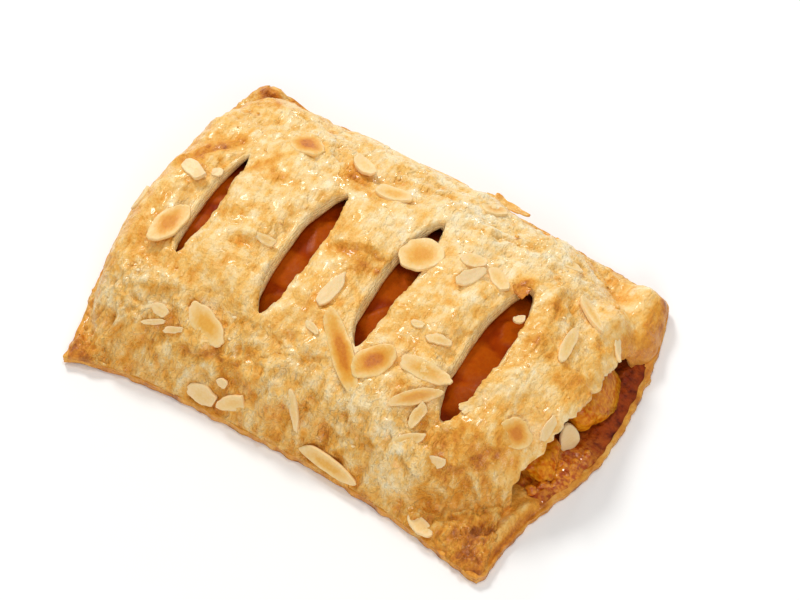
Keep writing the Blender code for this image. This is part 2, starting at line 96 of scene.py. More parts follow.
# The four slits across the lid
SLIT_PLACES = ((-46.4, -1.2), (-18.2, -2.0), (7.4, 2.6), (36.2, -3.0))
SLIT_LENGTHS = (35.0, 43.0, 44.0, 45.0)
SLIT_HALVES = ((4.4, 2.0), (6.4, 2.6), (6.4, 2.8), (6.2, 4.6))  # to the left and right
SLIT_END_POWER = 2.4        # how late a slit narrows toward its ends
SLIT_END_ROUNDING = 0.6     # the lower, the blunter the ends
WALL_LEAN = 1.6             # a slit's left wall slopes in under its top edge
LEAN_REACH = 1.0
SLIT_LINE_WIDTH = 0.2       # how near a slit's line a point counts as on it
SLIT_REACH = 12.5           # how far from a slit the sheet is pushed aside
EDGE_DROOP = 1.6            # the strips' edges sink into the slits
DROOP_REACH = 3.2
STRIP_SWELL = 1.4           # and their middles puff up
SWELL_REACH = 6.0

# Uneven surface
LUMP_HEIGHT = 1.0
LUMP_SIZE = 17.0
WRINKLE_HEIGHT = 0.7
WRINKLE_SIZE = 8.0
WRINKLE_SEED = 40.0         # depth in the noise at which the wrinkles are read

# The filling
FIT_GAP = 0.35
FILLING_SINK = 2.0          # clear of the drooping edges of the slits
FILLING_SHARE = 0.95        # of the dome's footprint
FILLING_FOOT = 0.9          # least height of the filling at its edge
MOUTH_FACE = 53.0           # the filling's face in the mouth
FILLING_END = 0.5           # the filling's blunt left end, short of the dome's foot
FOOT_SEARCH_STEPS = 30

# Pear chunks in the mouth: middle, half sizes, turn in degrees
CHUNKS = (
    ("pear_chunk_big", (60.4, 8.4, 8.2), (5.6, 10.2, 5.6), -8.0),
    ("pear_chunk_small", (58.2, -13.2, 6.2), (3.9, 6.0, 3.6), 12.0),
)
CHUNK_SQUARENESS = 3.0      # 2 is an egg, more is a cube with soft edges
CHUNK_LUMPS = ((0.7, 6.0), (0.9, 3.1), (0.14, 1.1))     # height, size
CHUNK_DIMPLES = (0.25, 2.2)
CHUNK_TOP_WEAR = (0.5, 2.6)     # where the lid lies on it
CHUNK_SINK = 0.2            # into the syrup on the base

# --- Fineness of the pieces ---------------------------------------------------------
LID_ROWS = 176
LID_STRIP_CELLS = 34
LID_END_CELLS = 44
LID_END_CROWDING = 1.3
EDGE_CROWDING = 0.55
LAYER_CUTS = 4              # rows of vertices across the thickness of a dough sheet
BASE_COLUMNS = 160
BASE_CROWDING = 1.35        # how far the base's columns gather at its right end
BASE_ROWS = 96
FILLING_COLUMNS = 150
FILLING_ROWS = 80
SYRUP_COLUMNS = 50
SYRUP_ROWS = 130
CHUNK_FINENESS = 6
PEAR_BIT_FINENESS = 4
CRUMB_FINENESS = 1

# --- Surface of the dough -----------------------------------------------------------
FLAKE_STEP = 0.42           # height of one thin layer's edge
FLAKE_STEPS = 5.0           # layers between the lowest and the highest place
FLAKE_SPAN = (15.0, 11.0)
FLAKE_EDGE = 0.12
FLAKE_SEED = 5.0
BLISTER_SIZE = 4.6
BLISTER_HEIGHT = 0.6
BLISTER_SEED = 9.0
BLISTER_SHUFFLE = 7.3
BLISTER_PRESENCE = (2.5, 0.1)       # contrast and start of the choice of bubbles that show
BLISTER_CROWDING = 0.55
BLISTER_RADIUS = 0.55
BLISTERS_OFF_SIDES = 0.6            # how many fewer bubbles the sides have
CRUMPLES = ((6.0, 0.48, 41.0), (3.1, 0.34, 43.0), (1.6, 0.18, 45.0))   # size, share, seed
CRUMPLE_HEIGHTS = (0.50, 1.85)      # on the top and on the sides
RIDGE_SHARPNESS = 4.0
CRUMPLE_SPREAD = 0.75
SMOOTH_FOLD = ((59.0, 37.0), 13.0, 0.75)    # the smooth back tab: middle, radius, calm
WALL_BULGE = 0.55           # the cut walls round out like a bead
BACK_CRUMPLE = 0.35         # how crumpled the back side is, next to the front
TIP_START = 0.65            # how near a corner's tip the fine relief fades
TIP_CALM = 0.85
RIM_ROLL = (0.935, 1.5)     # where the lid's rim begins to roll down, and how far
HORN = ((-60.0, 46.0), 4.5, 1.6)    # the puffed back-left corner: middle, radius, height
SIDE_START = 17.0           # distance from the middle line where the sides begin
SIDE_RAMP = 16.0
STREAK_HEIGHT = 0.6
STREAK_SPAN = (1.5, 7.0)
STREAK_SEED = 31.0
GRAIN = ((0.18, 1.4, 23.0),)

# The cut and torn faces of the dough
RELIEF_ON_SLOPES = 0.45     # how much fine relief is left where the dough stands upright
CUT_LAYERS = 9.0            # layers across the lid's thickness
JUT_SPAN = 2.2
LID_JUT = 0.30
LID_LAYER_STEP = 3.7        # how different two layers next to each other are
BASE_JUT = 0.4
BASE_LAYER_STEP = 27.0
WALL_BAKED = -0.05          # added browning
UNDERSIDE_LOOKS = (0.45, 0.6)       # browning, and how much it looks like a cut face
RIM_CUT = 0.12
WALL_CUT = 0.75
RIM_START = 0.98
CREASES_ON_TOP = 0.3        # how strong the fine creases are on the lid's top
BASE_BROWNING = {"top": 0.56, "underside": 0.66, "wall": 0.62}
BASE_WALL_CUT = 0.15
# Paler on the rolled lip's top and darker in the groove outside it
LIP_ROLL_TONE = 0.2
BASE_EDGE_POWER = 12
MOUTH_THINNING = 0.9        # of the base's edge in front of the mouth
MOUTH_FLOOR = (55.0, 8.0)   # along X: start, length
FREE_EDGE_RAMP = (0.90, 0.10)
FREE_EDGE_THINNING = 0.7

# Wandering lines and uneven patches, as waves: height, size, seed
LAYER_WANDER = ((3.0, 7.0, 8.0), (0.9, 1.9, 9.0))
FOLD_WANDER = ((1.2, 6.0, 71.0),)
LEDGE_WANDER = ((1.5, 5.5, 71.0), (0.6, 1.9, 73.0))
CRUMPLE_WANDER_X = ((1.6, 6.5, 33.0),)
CRUMPLE_WANDER_Y = ((1.6, 6.5, 35.0),)
CRUMPLE_PATCHES = ((0.8, 16.0, 37.0),)
BLISTER_CROWDS = ((1.6, 18.0, 12.0),)
FREE_EDGE_WANDER = ((1.6, 6.0, 81.0), (0.9, 1.9, 83.0))
LIP_WANDER = ((0.6, 5.0, 87.0),)
BASE_RAGGED = ((0.7, 3.0, 91.0),)
MOUTH_FLOOR_WAVES = ((0.5, 3.5, 93.0),)
BAKED_PATCHES = ((0.14, 13.0, 51.0), (0.11, 4.5, 57.0), (0.07, 1.8, 61.0))
BASE_PATCHES = ((0.2, 6.0, 95.0), (0.12, 2.0, 97.0))
SPOT_RAGGED = ((0.5, 2.2, 67.0),)
EDGE_SPAN = (60.0, 50.0)            # millimetres that a share of one spans in these waves

# Torn edges of layers, raised on the left of the line from start to end:
# start, end, height, how far back the layer fades into the dough
LEDGES = (
    ((-12.7, 2.6), (3.2, 6.8), 1.7, 9.0),
    ((-62.0, 4.0), (-49.5, 21.5), 1.3, 5.0),
    ((30.0, -36.0), (38.5, -37.5), 1.9, 12.0),
    ((38.0, -37.8), (52.5, -21.5), 1.9, 13.0),
    ((33.0, -41.5), (47.0, -34.0), 1.2, 5.0),
    ((38.0, -46.0), (53.0, -35.0), 1.0, 5.0),
    ((47.0, -47.5), (57.5, -37.0), 0.9, 4.0),
    ((-33.0, -36.0), (-16.0, -35.0), 1.2, 6.0),
    ((-8.0, -38.5), (5.0, -37.0), 0.8, 6.0),
    ((10.0, -33.0), (24.0, -37.0), 0.8, 7.0),
    ((-52.0, -31.0), (-41.0, -26.0), 0.8, 6.0),
    ((-44.0, 26.0), (-30.0, 33.0), 0.7, 6.0),
    ((-12.0, 30.0), (4.0, 35.0), 0.7, 6.0),
    ((12.0, 27.0), (29.0, 33.0), 0.8, 6.0),
    ((45.0, 12.0), (42.0, 26.0), 0.8, 5.0),
)
LEDGE_EDGE = 0.45
LEDGE_PAST = 0.2            # share of its length that a ledge may reach past its ends
LEDGE_ENDS = (0.15, 0.3)    # shares of its length: past its ends, and over which it fades
LEDGE_MARGINS = (4.0, 3.0)  # outside the edge, and behind the reach
LEDGE_FOOT = (0.5, 1.1)     # the shaded foot: distance from the edge, half width
FOLD_ENDS = (0.1, 0.25)

# Browning, with painted light and shade from the relief added: nought is cream, one is
# brown
PLAIN_BROWNING = 0.32
# Painted sheen: the far top is made paler where the back light falls
FAR_TOP_PAINTED_SHEEN = 0.05
FAR_TOP_SHEEN_RAMPS = ((2.0, 20.0), (-40.0, 25.0))    # along Y, along X: start, length
FRONT_BROWNER = 0.05
FRONT_RAMP = (17.0, 12.0)
# Darker towards the left end
LEFT_DARKER = 0.08
LEFT_RAMP = (44.0, 14.0)
RIM_BROWNER = 0.26
RIM_RAMP = (1.0, 7.0)       # along Z
# Browner where each thin layer steps up: partly baked colour, partly painted shade at the
# step's foot
LAYER_EDGE_BROWNING_AND_SHADE = 0.08
BLISTER_PALER = 0.10
# Painted light on the ridges of the crumpled dough and painted shade in its hollows
RIDGE_LIGHT_HOLLOW_SHADE = (0.08, 0.15)  # on the top and on the sides
FOLD_BROWNER = 0.36         # the end of the fold behind the mouth
FOLD_END_RAMPS = ((57.5, 6.0), (16.0, 8.0))     # along X, along Y
# Browning along the folds, partly painted shade in the creases and painted light on the
# ridges
FOLD_BROWNING_AND_SHADE = (0.7, 1.2)   # strength and width beside the crease's own
# Painted shade at the foot of each torn layer's edge
LEDGE_FOOT_SHADE = 0.16
MOST_GOLDEN = 0.66          # the browning of the deepest golden dough, outside the spots
MOST_BROWN = 0.84
SPOT_REACH = 2.5            # radii of a spot

# Creases and ridges: start, end, half width, height, added browning, which is partly baked
# colour and partly painted shade in the creases and painted light on the ridges
FOLDS = (
    ((-59.5, 8.5), (-51.5, 21.5), 1.5, -1.3, 0.42),
    ((-13.0, 0.8), (3.0, 2.2), 1.2, -0.5, 0.16),
    ((-36.0, -9.5), (-30.5, -7.5), 1.4, -0.8, 0.25),
    ((-35.0, -6.5), (-30.0, -5.5), 1.4, 0.8, -0.1),
    ((44.0, 27.0), (52.0, 12.0), 1.2, -0.7, 0.15),
    ((50.0, 30.0), (57.0, 14.0), 1.6, 0.8, -0.05),
    ((34.0, -42.2), (50.0, -33.5), 1.4, -1.2, 0.02),
    ((43.0, -44.0), (55.0, -36.5), 1.3, 0.9, -0.1),
    ((46.0, -47.0), (58.0, -39.0), 1.1, -0.6, 0.05),
    ((40.0, -46.5), (50.0, -41.5), 1.2, 0.6, -0.1),
    ((24.0, -43.0), (33.0, -41.0), 1.6, 0.9, -0.05),
    ((12.0, -39.0), (25.0, -41.5), 1.5, -0.8, 0.12),
    ((-14.0, -33.0), (-2.0, -36.0), 2.0, 0.8, -0.05),
    ((-22.0, -38.0), (-10.0, -38.5), 1.8, -1.5, 0.25),
    ((-50.0, -33.0), (-40.0, -37.0), 1.4, -0.7, 0.18),
    ((-46.0, -25.0), (-33.0, -33.0), 1.6, 0.6, 0.0),
    ((-6.0, -28.0), (-12.0, -20.0), 1.3, -0.5, 0.15),
    ((-62.0, -30.0), (-58.0, -8.0), 1.4, -0.5, 0.08),
    ((14.0, 30.0), (32.0, 29.0), 1.6, 0.7, -0.1),
    ((20.0, 37.0), (31.0, 34.5), 2.0, -1.0, 0.12),
    ((36.0, 27.0), (41.0, 37.0), 1.6, -0.6, 0.1),
)

# Places that baked browner (or stayed paler, below nought): middle, radius, amount
SPOTS = (
    ((-60.5, 46.0), 2.2, 0.45),
    ((-59.5, -47.0), 3.2, 0.30),
    ((-57.0, 43.0), 4.0, 0.2),
    ((-42.7, 13.5), 2.2, 0.4),
    ((-40.5, 16.5), 1.6, 0.35),
    ((-35.0, 14.2), 2.0, 0.35),
    ((-31.5, 14.0), 1.4, 0.28),
    ((-21.0, 26.0), 4.0, 0.4),
    ((-10.0, 22.5), 4.5, 0.22),
    ((-4.0, 1.0), 5.0, 0.15),
    ((0.8, 2.0), 1.0, 0.5),
    ((44.0, 17.5), 2.0, 0.4),
    ((45.5, 5.5), 2.4, 0.36),
    ((44.5, 0.0), 2.0, 0.25),
    ((34.6, 18.2), 2.6, 0.5),
    ((46.0, -24.5), 6.0, 0.22),
    ((40.0, -29.0), 6.0, 0.2),
    ((50.0, -27.0), 5.0, 0.12),
    ((-4.0, -39.8), 4.0, 0.14),
    ((9.0, -41.0), 5.0, 0.12),
    ((-24.0, -42.0), 4.0, 0.12),
    ((-40.8, -40.0), 4.0, 0.1),
    ((-34.0, -35.0), 4.0, 0.1),
    ((-17.0, -38.0), 4.0, 0.14),
    ((62.5, 44.0), 3.0, 0.25),
    ((59.0, 38.0), 9.0, 0.08),
    ((58.5, -47.0), 4.5, 0.30),
    ((56.0, -31.0), 4.0, 0.12),
    ((2.4, -7.7), 2.0, 0.3),
    ((-3.5, -11.0), 3.0, 0.15),
    ((58.0, 16.0), 3.0, 0.25),
    ((57.0, 2.0), 3.5, 0.2),
    ((53.0, -43.0), 7.5, 0.12),
    ((57.5, -38.0), 4.0, 0.1),
    ((-58.0, -45.0), 6.0, 0.14),
    ((-61.0, -47.8), 2.0, 0.15),
    ((-30.0, 22.0), 6.0, -0.15),
    ((17.5, 33.0), 9.0, -0.18),
    ((30.0, 30.0), 6.0, -0.12),
    ((-2.0, 15.0), 5.0, -0.12),
    ((-48.0, -30.0), 6.0, -0.08),
    ((-45.0, 24.0), 5.0, -0.12),
    ((8.0, -34.0), 5.0, -0.1),
    ((46.0, -38.0), 4.0, -0.18),
)

# --- Almond slices: middle, length and width, turn, then their looks ----------------
# point: how narrow one end is; chop: share broken off; tone: 0 pale to 1 toasted brown;
# curl: how far the ends bend up; lift: how far one long edge stands off the lid
SLICES = (
    ((-52.0, -12.0), (14.5, 7.5), 74.0, 0.20, 0.00, 0.78, 0.9, 0.0),
    ((-55.0, 4.0), (9.5, 4.5), -17.0, 0.10, 0.22, 0.10, 0.3, 0.6),
    ((-36.0, 27.5), (9.5, 9.0), -10.0, 0.05, 0.00, 0.98, -0.2, 0.0),
    ((-20.0, 29.5), (8.5, 4.0), -27.0, 0.25, 0.00, 0.22, 0.8, 1.2),
    ((-8.5, 25.0), (10.5, 5.5), 10.0, 0.35, 0.00, 0.45, 0.5, 0.4),
    ((7.6, 11.9), (12.0, 10.5), 52.0, 0.10, 0.00, 0.62, 0.5, 0.3),
    ((20.0, 17.0), (7.0, 4.5), 24.0, 0.20, 0.00, 0.25, 0.4, 0.4),
    ((22.0, 12.0), (9.0, 3.8), 62.0, 0.30, 0.00, 0.02, 0.6, 1.4),
    ((28.0, 16.0), (8.5, 4.5), -34.0, 0.20, 0.10, 0.30, 0.4, 0.4),
    ((51.5, 10.0), (12.5, 4.0), 95.0, 0.30, 0.00, 0.25, 0.3, 0.2),
    ((51.0, 22.5), (12.5, 3.4), -26.0, 0.40, 0.00, 0.35, 0.3, 0.3),
    ((-29.5, -30.0), (14.0, 7.0), -30.0, 0.10, 0.00, 0.52, 0.2, 0.0),
    ((-42.0, -32.0), (5.5, 3.5), -9.0, 0.10, 0.15, 0.18, 0.2, 0.2),
    ((-24.0, -41.0), (9.0, 6.5), -2.0, 0.20, 0.10, 0.20, 0.3, 0.3),
    ((-15.0, -40.0), (11.0, 5.0), 61.0, 0.20, 0.25, 0.30, 0.5, 0.8),
    ((0.7, -37.0), (10.5, 3.2), -71.0, 0.35, 0.00, 0.22, 0.2, 0.6),
    ((-5.5, -9.0), (11.0, 4.6), 83.0, 0.45, 0.00, 0.10, 0.3, 0.7),
    ((5.3, -22.0), (23.5, 6.6), -46.0, 0.15, 0.00, 0.92, 0.5, 0.2),
    ((14.0, -20.5), (13.0, 9.0), 58.0, 0.25, 0.05, 0.98, 0.6, 0.3),
    ((26.5, -17.0), (15.0, 6.0), 6.0, 0.25, 0.00, 0.48, 0.9, 0.5),
    ((28.0, -23.6), (14.5, 3.8), 44.0, 0.20, 0.00, 0.62, 0.9, 1.2),
    ((31.0, -32.5), (10.0, 4.0), 52.0, 0.30, 0.00, 0.40, 0.3, 0.4),
    ((38.5, -33.5), (7.5, 4.0), 35.0, 0.20, 0.05, 0.16, 0.2, 0.3),
    ((53.0, -18.0), (9.5, 7.5), -8.0, 0.10, 0.05, 0.90, 0.2, 0.1),
    ((58.8, -12.0), (8.5, 2.8), 98.0, 0.20, 0.20, 0.12, 0.5, 0.5),
    ((14.0, -42.0), (17.5, 5.0), -13.0, 0.20, 0.00, 0.45, 0.3, 0.6),
    ((42.0, -45.0), (8.5, 4.2), -13.0, 0.20, 0.05, 0.25, 0.2, 0.2),
    ((-44.0, 38.0), (9.0, 6.0), 20.0, 0.20, 0.00, 0.45, 0.3, 0.1),
    ((-14.0, 41.0), (11.0, 5.0), -15.0, 0.20, 0.00, 0.30, 0.3, 0.2),
    ((13.0, 39.0), (8.5, 6.5), 60.0, 0.15, 0.10, 0.60, 0.2, 0.1),
    ((37.0, 34.0), (10.0, 4.5), 10.0, 0.25, 0.00, 0.35, 0.3, 0.3),
    ((-65.0, -6.0), (8.0, 5.0), 80.0, 0.20, 0.00, 0.40, 0.2, 0.1),
)
SLIVERS = (
    ((-50.2, 7.2), (3.1, 2.7), 44.0, 0.10, 0.00, 0.05, 0.1, 0.4),
    ((-27.8, -4.9), (5.6, 2.5), 14.0, 0.20, 0.00, 0.28, 0.4, 0.8),
    ((24.9, -8.0), (7.1, 3.0), 20.0, 0.20, 0.00, 0.30, 0.2, 0.2),
    ((30.4, -26.6), (7.2, 3.5), 86.0, 0.30, 0.10, 0.35, 0.5, 0.8),
    ((-42.2, -34.6), (6.6, 1.8), 33.0, 0.20, 0.10, 0.12, 0.2, 0.2),
    ((-36.5, -34.2), (5.6, 2.0), 34.0, 0.20, 0.10, 0.20, 0.4, 0.5),
    ((-19.6, -38.4), (3.8, 2.6), -10.0, 0.10, 0.20, 0.10, 0.2, 0.3),
    ((-4.3, -20.2), (5.0, 2.5), -21.0, 0.50, 0.10, 0.15, 0.1, 0.4),
    ((18.3, -7.2), (4.1, 2.3), 15.0, 0.20, 0.10, 0.20, 0.2, 0.3),
    ((38.2, 8.7), (3.6, 2.3), 47.0, 0.40, 0.10, 0.05, 0.2, 0.4),
    ((60.2, 19.8), (7.2, 2.8), -46.0, 0.60, 0.00, 0.10, 0.3, 0.3),
)
# Slices that stand on their edge in the mouth: foot, height and width, turn, lean, tone
STANDING_SLICES = (
    ((62.2, -5.8, 2.6), (8.4, 5.6), 62.0, (-0.26, 0.20), 0.10),
)
SLICE_SIDES = 28
SLICE_RINGS = (0.07, 0.13, 0.30)
SLICE_THICKNESS = 1.0
SLICE_SAG = 0.6
# How slices are cut: thickness, raggedness of the rim, sink into the lid, first number
SLICE_CUT = (SLICE_THICKNESS, 0.15, 0.2, 0)
SLIVER_CUT = (0.8, 0.25, 0.2, 50)
FLAKE_CUT = (0.5, 0.5, 0.1, 90)
RIM_WAVES = ((1.0, 1.6, 7.7), (0.4, 4.0, 3.3))      # strength, fineness, seed step
BREAK_SLANT = 0.15          # of a broken end
BREAK_LEFT = 0.08           # share of what is past the break
FACE_WAVES = (0.12, 0.5, 3.1)       # height, size, seed step
STANDING_TAPER = 0.25
STANDING_BOW = 0.5
STANDING_WAVES = ((0.15, 0.6, 3.3),)

# Thin layers of dough that lift off, with the same columns as the slices
LOOSE_FLAKES = (
    ((12.0, 46.2), (13.0, 5.0), -6.0, 0.30, 0.00, 0.45, 0.2, 1.5),
    ((-4.0, 44.6), (14.0, 2.0), -5.0, 0.30, 0.10, 0.42, 0.0, 0.3),
    ((40.5, -18.0), (7.0, 4.0), 60.0, 0.30, 0.10, 0.25, 0.5, 0.8),
    ((34.5, 16.5), (4.5, 4.0), 20.0, 0.20, 0.10, 0.70, 0.6, 0.3),
    ((39.0, 40.6), (19.0, 2.6), -11.0, 0.30, 0.00, 0.40, 0.0, 0.5),
)
FLAKE_SAG = 0.85            # how closely a loose flake follows the lid under it
CRUMB_SEED = 7
CRUMB_COUNT = 80
CRUMB_SIZES = (0.2, 0.55)
CRUMB_AREA = ((-62.0, 60.0), (-44.0, 44.0))
CRUMB_CROWDS = ((0.5, 20.0, 121.0),)
CRUMB_CROWDING = 0.5
CRUMB_BAKED = (0.05, 0.5)
CRUMB_SHAPE = (1.4, 1.0, 0.6)
CRUMB_LUMP = (0.35, 1.7)    # share of its size, and fineness
CRUMB_RISE = 0.2            # of its middle over the lid, as a share of its size
CRUMB_MARGIN = 1.0          # kept from the slits
LID_EDGE = 0.97             # how far over the dome crumbs lie


def blend(low, high, share):
    return low + (high - low) * share


def smooth_step(value):
    value = min(max(value, 0.0), 1.0)
    return value * value * (3.0 - 2.0 * value)


def ripple(x, y, size, seed):
    """Smooth noise over the plan, from about -1 to 1."""
    return noise.noise(Vector((x / size, y / size, seed)))


def waves(x, y, rows):
    """Several ripples on each other: the height, size and seed of each."""
    return sum(height * ripple(x, y, size, seed) for height, size, seed in rows)


def ramp(value, start, length):
    """Nought before the start, one past the length."""
    return smooth_step((value - start) / length)


# --- Outline, dome and slits, as in the solids --------------------------------------
def end_bow(across, right):
    fall = (RIGHT_FALL if right else LEFT_FALL)[across > 0.0]
    return END_BULGES[right] * max(1.0 - across * across, 0.0) ** fall


def mouth_window(across):
    from_front = (across - MOUTH_SPAN[0]) / MOUTH_RAMPS[0]
    from_back = (MOUTH_SPAN[1] - across) / MOUTH_RAMPS[1]
    return smooth_step(from_front) * smooth_step(from_back)


def half_width(along, back):
    right = along > 0.0
    waist = BACK_WAIST if back else FRONT_WAIST
    corner = (BACK_CORNERS if back else FRONT_CORNERS)[right]
    power = (BACK_FLARE if back else FRONT_FLARE)[right]
    return blend(waist, corner, min(abs(along), 1.0) ** power)


def sheet_place(along, across, setback=0.0, lip=0.0):
    right = along > 0.0
    near_corner = abs(along * across) ** CORNER_TIGHTNESS
    pull = 1.0 - CORNER_ROUNDING * near_corner
    bow = end_bow(across, right)
    if right:
        bow -= setback * mouth_window(across)
    bowed = max((abs(along) - BOW_START) / (1.0 - BOW_START), 0.0) ** 2
    x = along * (CORNER_X + lip) + bow * bowed * math.copysign(1.0, along)
    y = across * (half_width(along, across > 0.0) + lip)
    return x * pull, y * pull


def tab_closeness(x, y):
    along = abs(x) / CORNER_X
    across = abs(y) / half_width(x / CORNER_X, y > 0.0)
    return smooth_step((along - 1.0 + TAB_SHARE) / TAB_SHARE) * smooth_step(
        (across - 1.0 + TAB_SHARE) / TAB_SHARE)


def tab_lift(x, y):
    return tab_closeness(x, y) * (BACK_TAB_LIFTS if y > 0.0 else FRONT_TAB_LIFTS)[x > 0.0]


def dome_norm(x, y):
    along = min(max(x / CORNER_X, -1.0), 1.0)
    across = min(max(y / BACK_WAIST, -1.0), 1.0)
    swing_start, swing_end = MOUTH_SHIFT_SPAN
    toward_mouth = smooth_step((x - swing_start) / (swing_end - swing_start))
    y_here = y - MOUTH_SHIFT * toward_mouth * (1.0 - abs(across))
    if x > 0.0:
        length_share = (x / MOUTH_REACH) ** RIGHT_SHOULDER
    else:
        left_end = CORNER_X + end_bow(across, False) - DOME_MARGIN
        length_share = (-x / left_end) ** LEFT_SHOULDER
    side = half_width(along, y > 0.0) - DOME_MARGIN
    width_share = (abs(y_here) / side) ** SIDE_SHOULDER
    from_front = smooth_step((across + 1.0) / 2.0)
    left = blend(*ROUNDNESS_LEFT, from_front)
    right = blend(*ROUNDNESS_RIGHT, from_front)
    power = blend(left, right, smooth_step((along + 1.0) / 2.0))
    return (length_share ** power + width_share ** power) ** (1.0 / power)


def dome_height(x, y):
    room = 1.0 - dome_norm(x, y) ** DOME_POWER
    room = 0.5 * (room + math.sqrt(room * room + FOOT_SOFTNESS ** 2))
    return RIM_HEIGHT + (CROWN_HEIGHT - RIM_HEIGHT) * room ** (1.0 / DOME_ROOT)


def dome_normal(x, y):
    step = NORMAL_STEP
    rise_x = dome_height(x + step, y) - dome_height(x - step, y)
    rise_y = dome_height(x, y + step) - dome_height(x, y - step)
    return Vector((-rise_x, -rise_y, 2.0 * step)).normalized()


def slit_opening(slit, y):
    reach = abs(y - SLIT_PLACES[slit][1]) / (SLIT_LENGTHS[slit] / 2.0)
    return max(1.0 - reach ** SLIT_END_POWER, 0.0) ** SLIT_END_ROUNDING


def pushed_aside(x, y, side):
    for slit, (slit_x, _) in enumerate(SLIT_PLACES):
        away = x - slit_x
        if abs(away) < SLIT_REACH:
            direction = side if abs(away) < SLIT_LINE_WIDTH else math.copysign(1.0, away)
            half_gap = SLIT_HALVES[slit][direction > 0.0] * slit_opening(slit, y)
            return x + direction * half_gap * (1.0 - abs(away) / SLIT_REACH)
    return x


def strip_relief(x, y):
    relief = 0.0
    for slit, (slit_x, _) in enumerate(SLIT_PLACES):
        opening = slit_opening(slit, y)
        away = max(abs(x - slit_x) - SLIT_HALVES[slit][x > slit_x] * opening, 0.0)
        if away < SLIT_REACH:
            swell = STRIP_SWELL * (1.0 - math.exp(-(away / SWELL_REACH) ** 2))
            fade = 1.0 - smooth_step(away / SLIT_REACH)
            droop = EDGE_DROOP * math.exp(-(away / DROOP_REACH) ** 2)
            relief += opening * (swell * fade - droop)
    return relief


def wall_lean(x, y):
    """How far the underside reaches into a slit, below a point on its left edge."""
    lean = 0.0
    for slit, (slit_x, _) in enumerate(SLIT_PLACES):
        opening = slit_opening(slit, y)
        away = x - (slit_x - SLIT_HALVES[slit][0] * opening)
        lean += WALL_LEAN * opening * math.exp(-(away / LEAN_REACH) ** 2)
    return lean


def uneven(x, y):
    lumps = LUMP_HEIGHT * noise.noise(Vector((x, y, 0.0)) / LUMP_SIZE)
    wrinkles = WRINKLE_HEIGHT * noise.noise(Vector((x, y, WRINKLE_SEED)) / WRINKLE_SIZE)
    return lumps + wrinkles


def fold_rise(x, y):
    """The fold behind the mouth: a roll of dough that rounds down to the rim."""
    start_x, start_y = FOLD_START
    rise = smooth_step((x - start_x) / FOLD_RAMP) * smooth_step((y - start_y) / FOLD_RAMP)
    if rise == 0.0:
        return 0.0
    side = half_width(x / CORNER_X, True)
    across = min(y / side, 1.0)
    end = CORNER_X + end_bow(across, True) - MOUTH_SETBACK * mouth_window(across)
    near_end = min(max(1.0 - (end - x) / FOLD_ROLLS[0], 0.0), 1.0)
    near_side = min(max(1.0 - (side - y) / FOLD_ROLLS[1], 0.0), 1.0)
    return FOLD_RISE * rise * math.sqrt((1.0 - near_end ** 2) * (1.0 - near_side ** 2))


def lid_height(x, y):
    height = dome_height(x, y) + fold_rise(x, y) + tab_lift(x, y)
    return height + strip_relief(x, y) + uneven(x, y)


# --- Finer shape and browning of the dough ------------------------------------------
def along_line(x, y, start, end):
    """How far along a line a place is, from nought to one, and how far to its left."""
    run_x, run_y = end[0] - start[0], end[1] - start[1]
    length = math.hypot(run_x, run_y)
    share = ((x - start[0]) * run_x + (y - start[1]) * run_y) / length ** 2
    left = ((y - start[1]) * run_x - (x - start[0]) * run_y) / length
    return share, left


def between_ends(share, past, fade):
    """One along a line, fading to nought past its two ends."""
    return smooth_step((share + past) / fade) * smooth_step((1.0 + past - share) / fade)


def fold_closeness(x, y, start, end, width):
    """One on a fold's line, fading to nought beside it and past its ends."""
    share, left = along_line(x, y, start, end)
    aside = waves(x, y, FOLD_WANDER) - left
    return math.exp(-(aside / width) ** 2) * between_ends(share, *FOLD_ENDS)


def layer_level(x, y):
    """Where among broad thin layers, which lie on each other, a place is."""
    warp = waves(x, y, LAYER_WANDER)
    return FLAKE_STEPS * noise.noise(Vector((
        (x + warp) / FLAKE_SPAN[0], (y - warp) / FLAKE_SPAN[1], FLAKE_SEED)))


def layer_edges(x, y):
    """Height of the thin layers, with a short step from each to the next."""
    level = layer_level(x, y)
    step = math.floor(level)
    return step + smooth_step((level - step) / FLAKE_EDGE)


def near_layer_edge(x, y):
    """One where a thin layer ends, nought on its face."""
    level = layer_level(x, y)
    share = level - math.floor(level)
    return max(1.0 - share / (2.0 * FLAKE_EDGE), 0.0)


def blisters(x, y):
    """Small round bubbles in the skin, in some places only."""
    distances, points = noise.voronoi(
        Vector((x / BLISTER_SIZE, y / BLISTER_SIZE, BLISTER_SEED)))
    contrast, start = BLISTER_PRESENCE
    presence = smooth_step(contrast * noise.noise(points[0] * BLISTER_SHUFFLE) + start)
    crowd = smooth_step(waves(x, y, BLISTER_CROWDS) + BLISTER_CROWDING)
    return presence * crowd * smooth_step(1.0 - distances[0] / BLISTER_RADIUS)


def on_side(y):
    """Nought on the top of the dome, one on its front and back sides."""
    return smooth_step((abs(y) - SIDE_START) / SIDE_RAMP)


def crumpled_share(y):
    """How crumpled the dough is: nought on top, one on the front, less at the back."""
    return on_side(y) * (BACK_CRUMPLE if y > 0.0 else 1.0)


def crumple(x, y):
    """Sharp ridges and soft hollows, as in crumpled paper, from about -1 to 1."""
    warped_x = x + waves(x, y, CRUMPLE_WANDER_X)
    warped_y = y + waves(x, y, CRUMPLE_WANDER_Y)
    value = 0.0
    for size, share, seed in CRUMPLES:
        ridge = abs(ripple(warped_x, warped_y, size, seed))
        value += share * (1.0 - RIDGE_SHARPNESS * ridge)
    return value


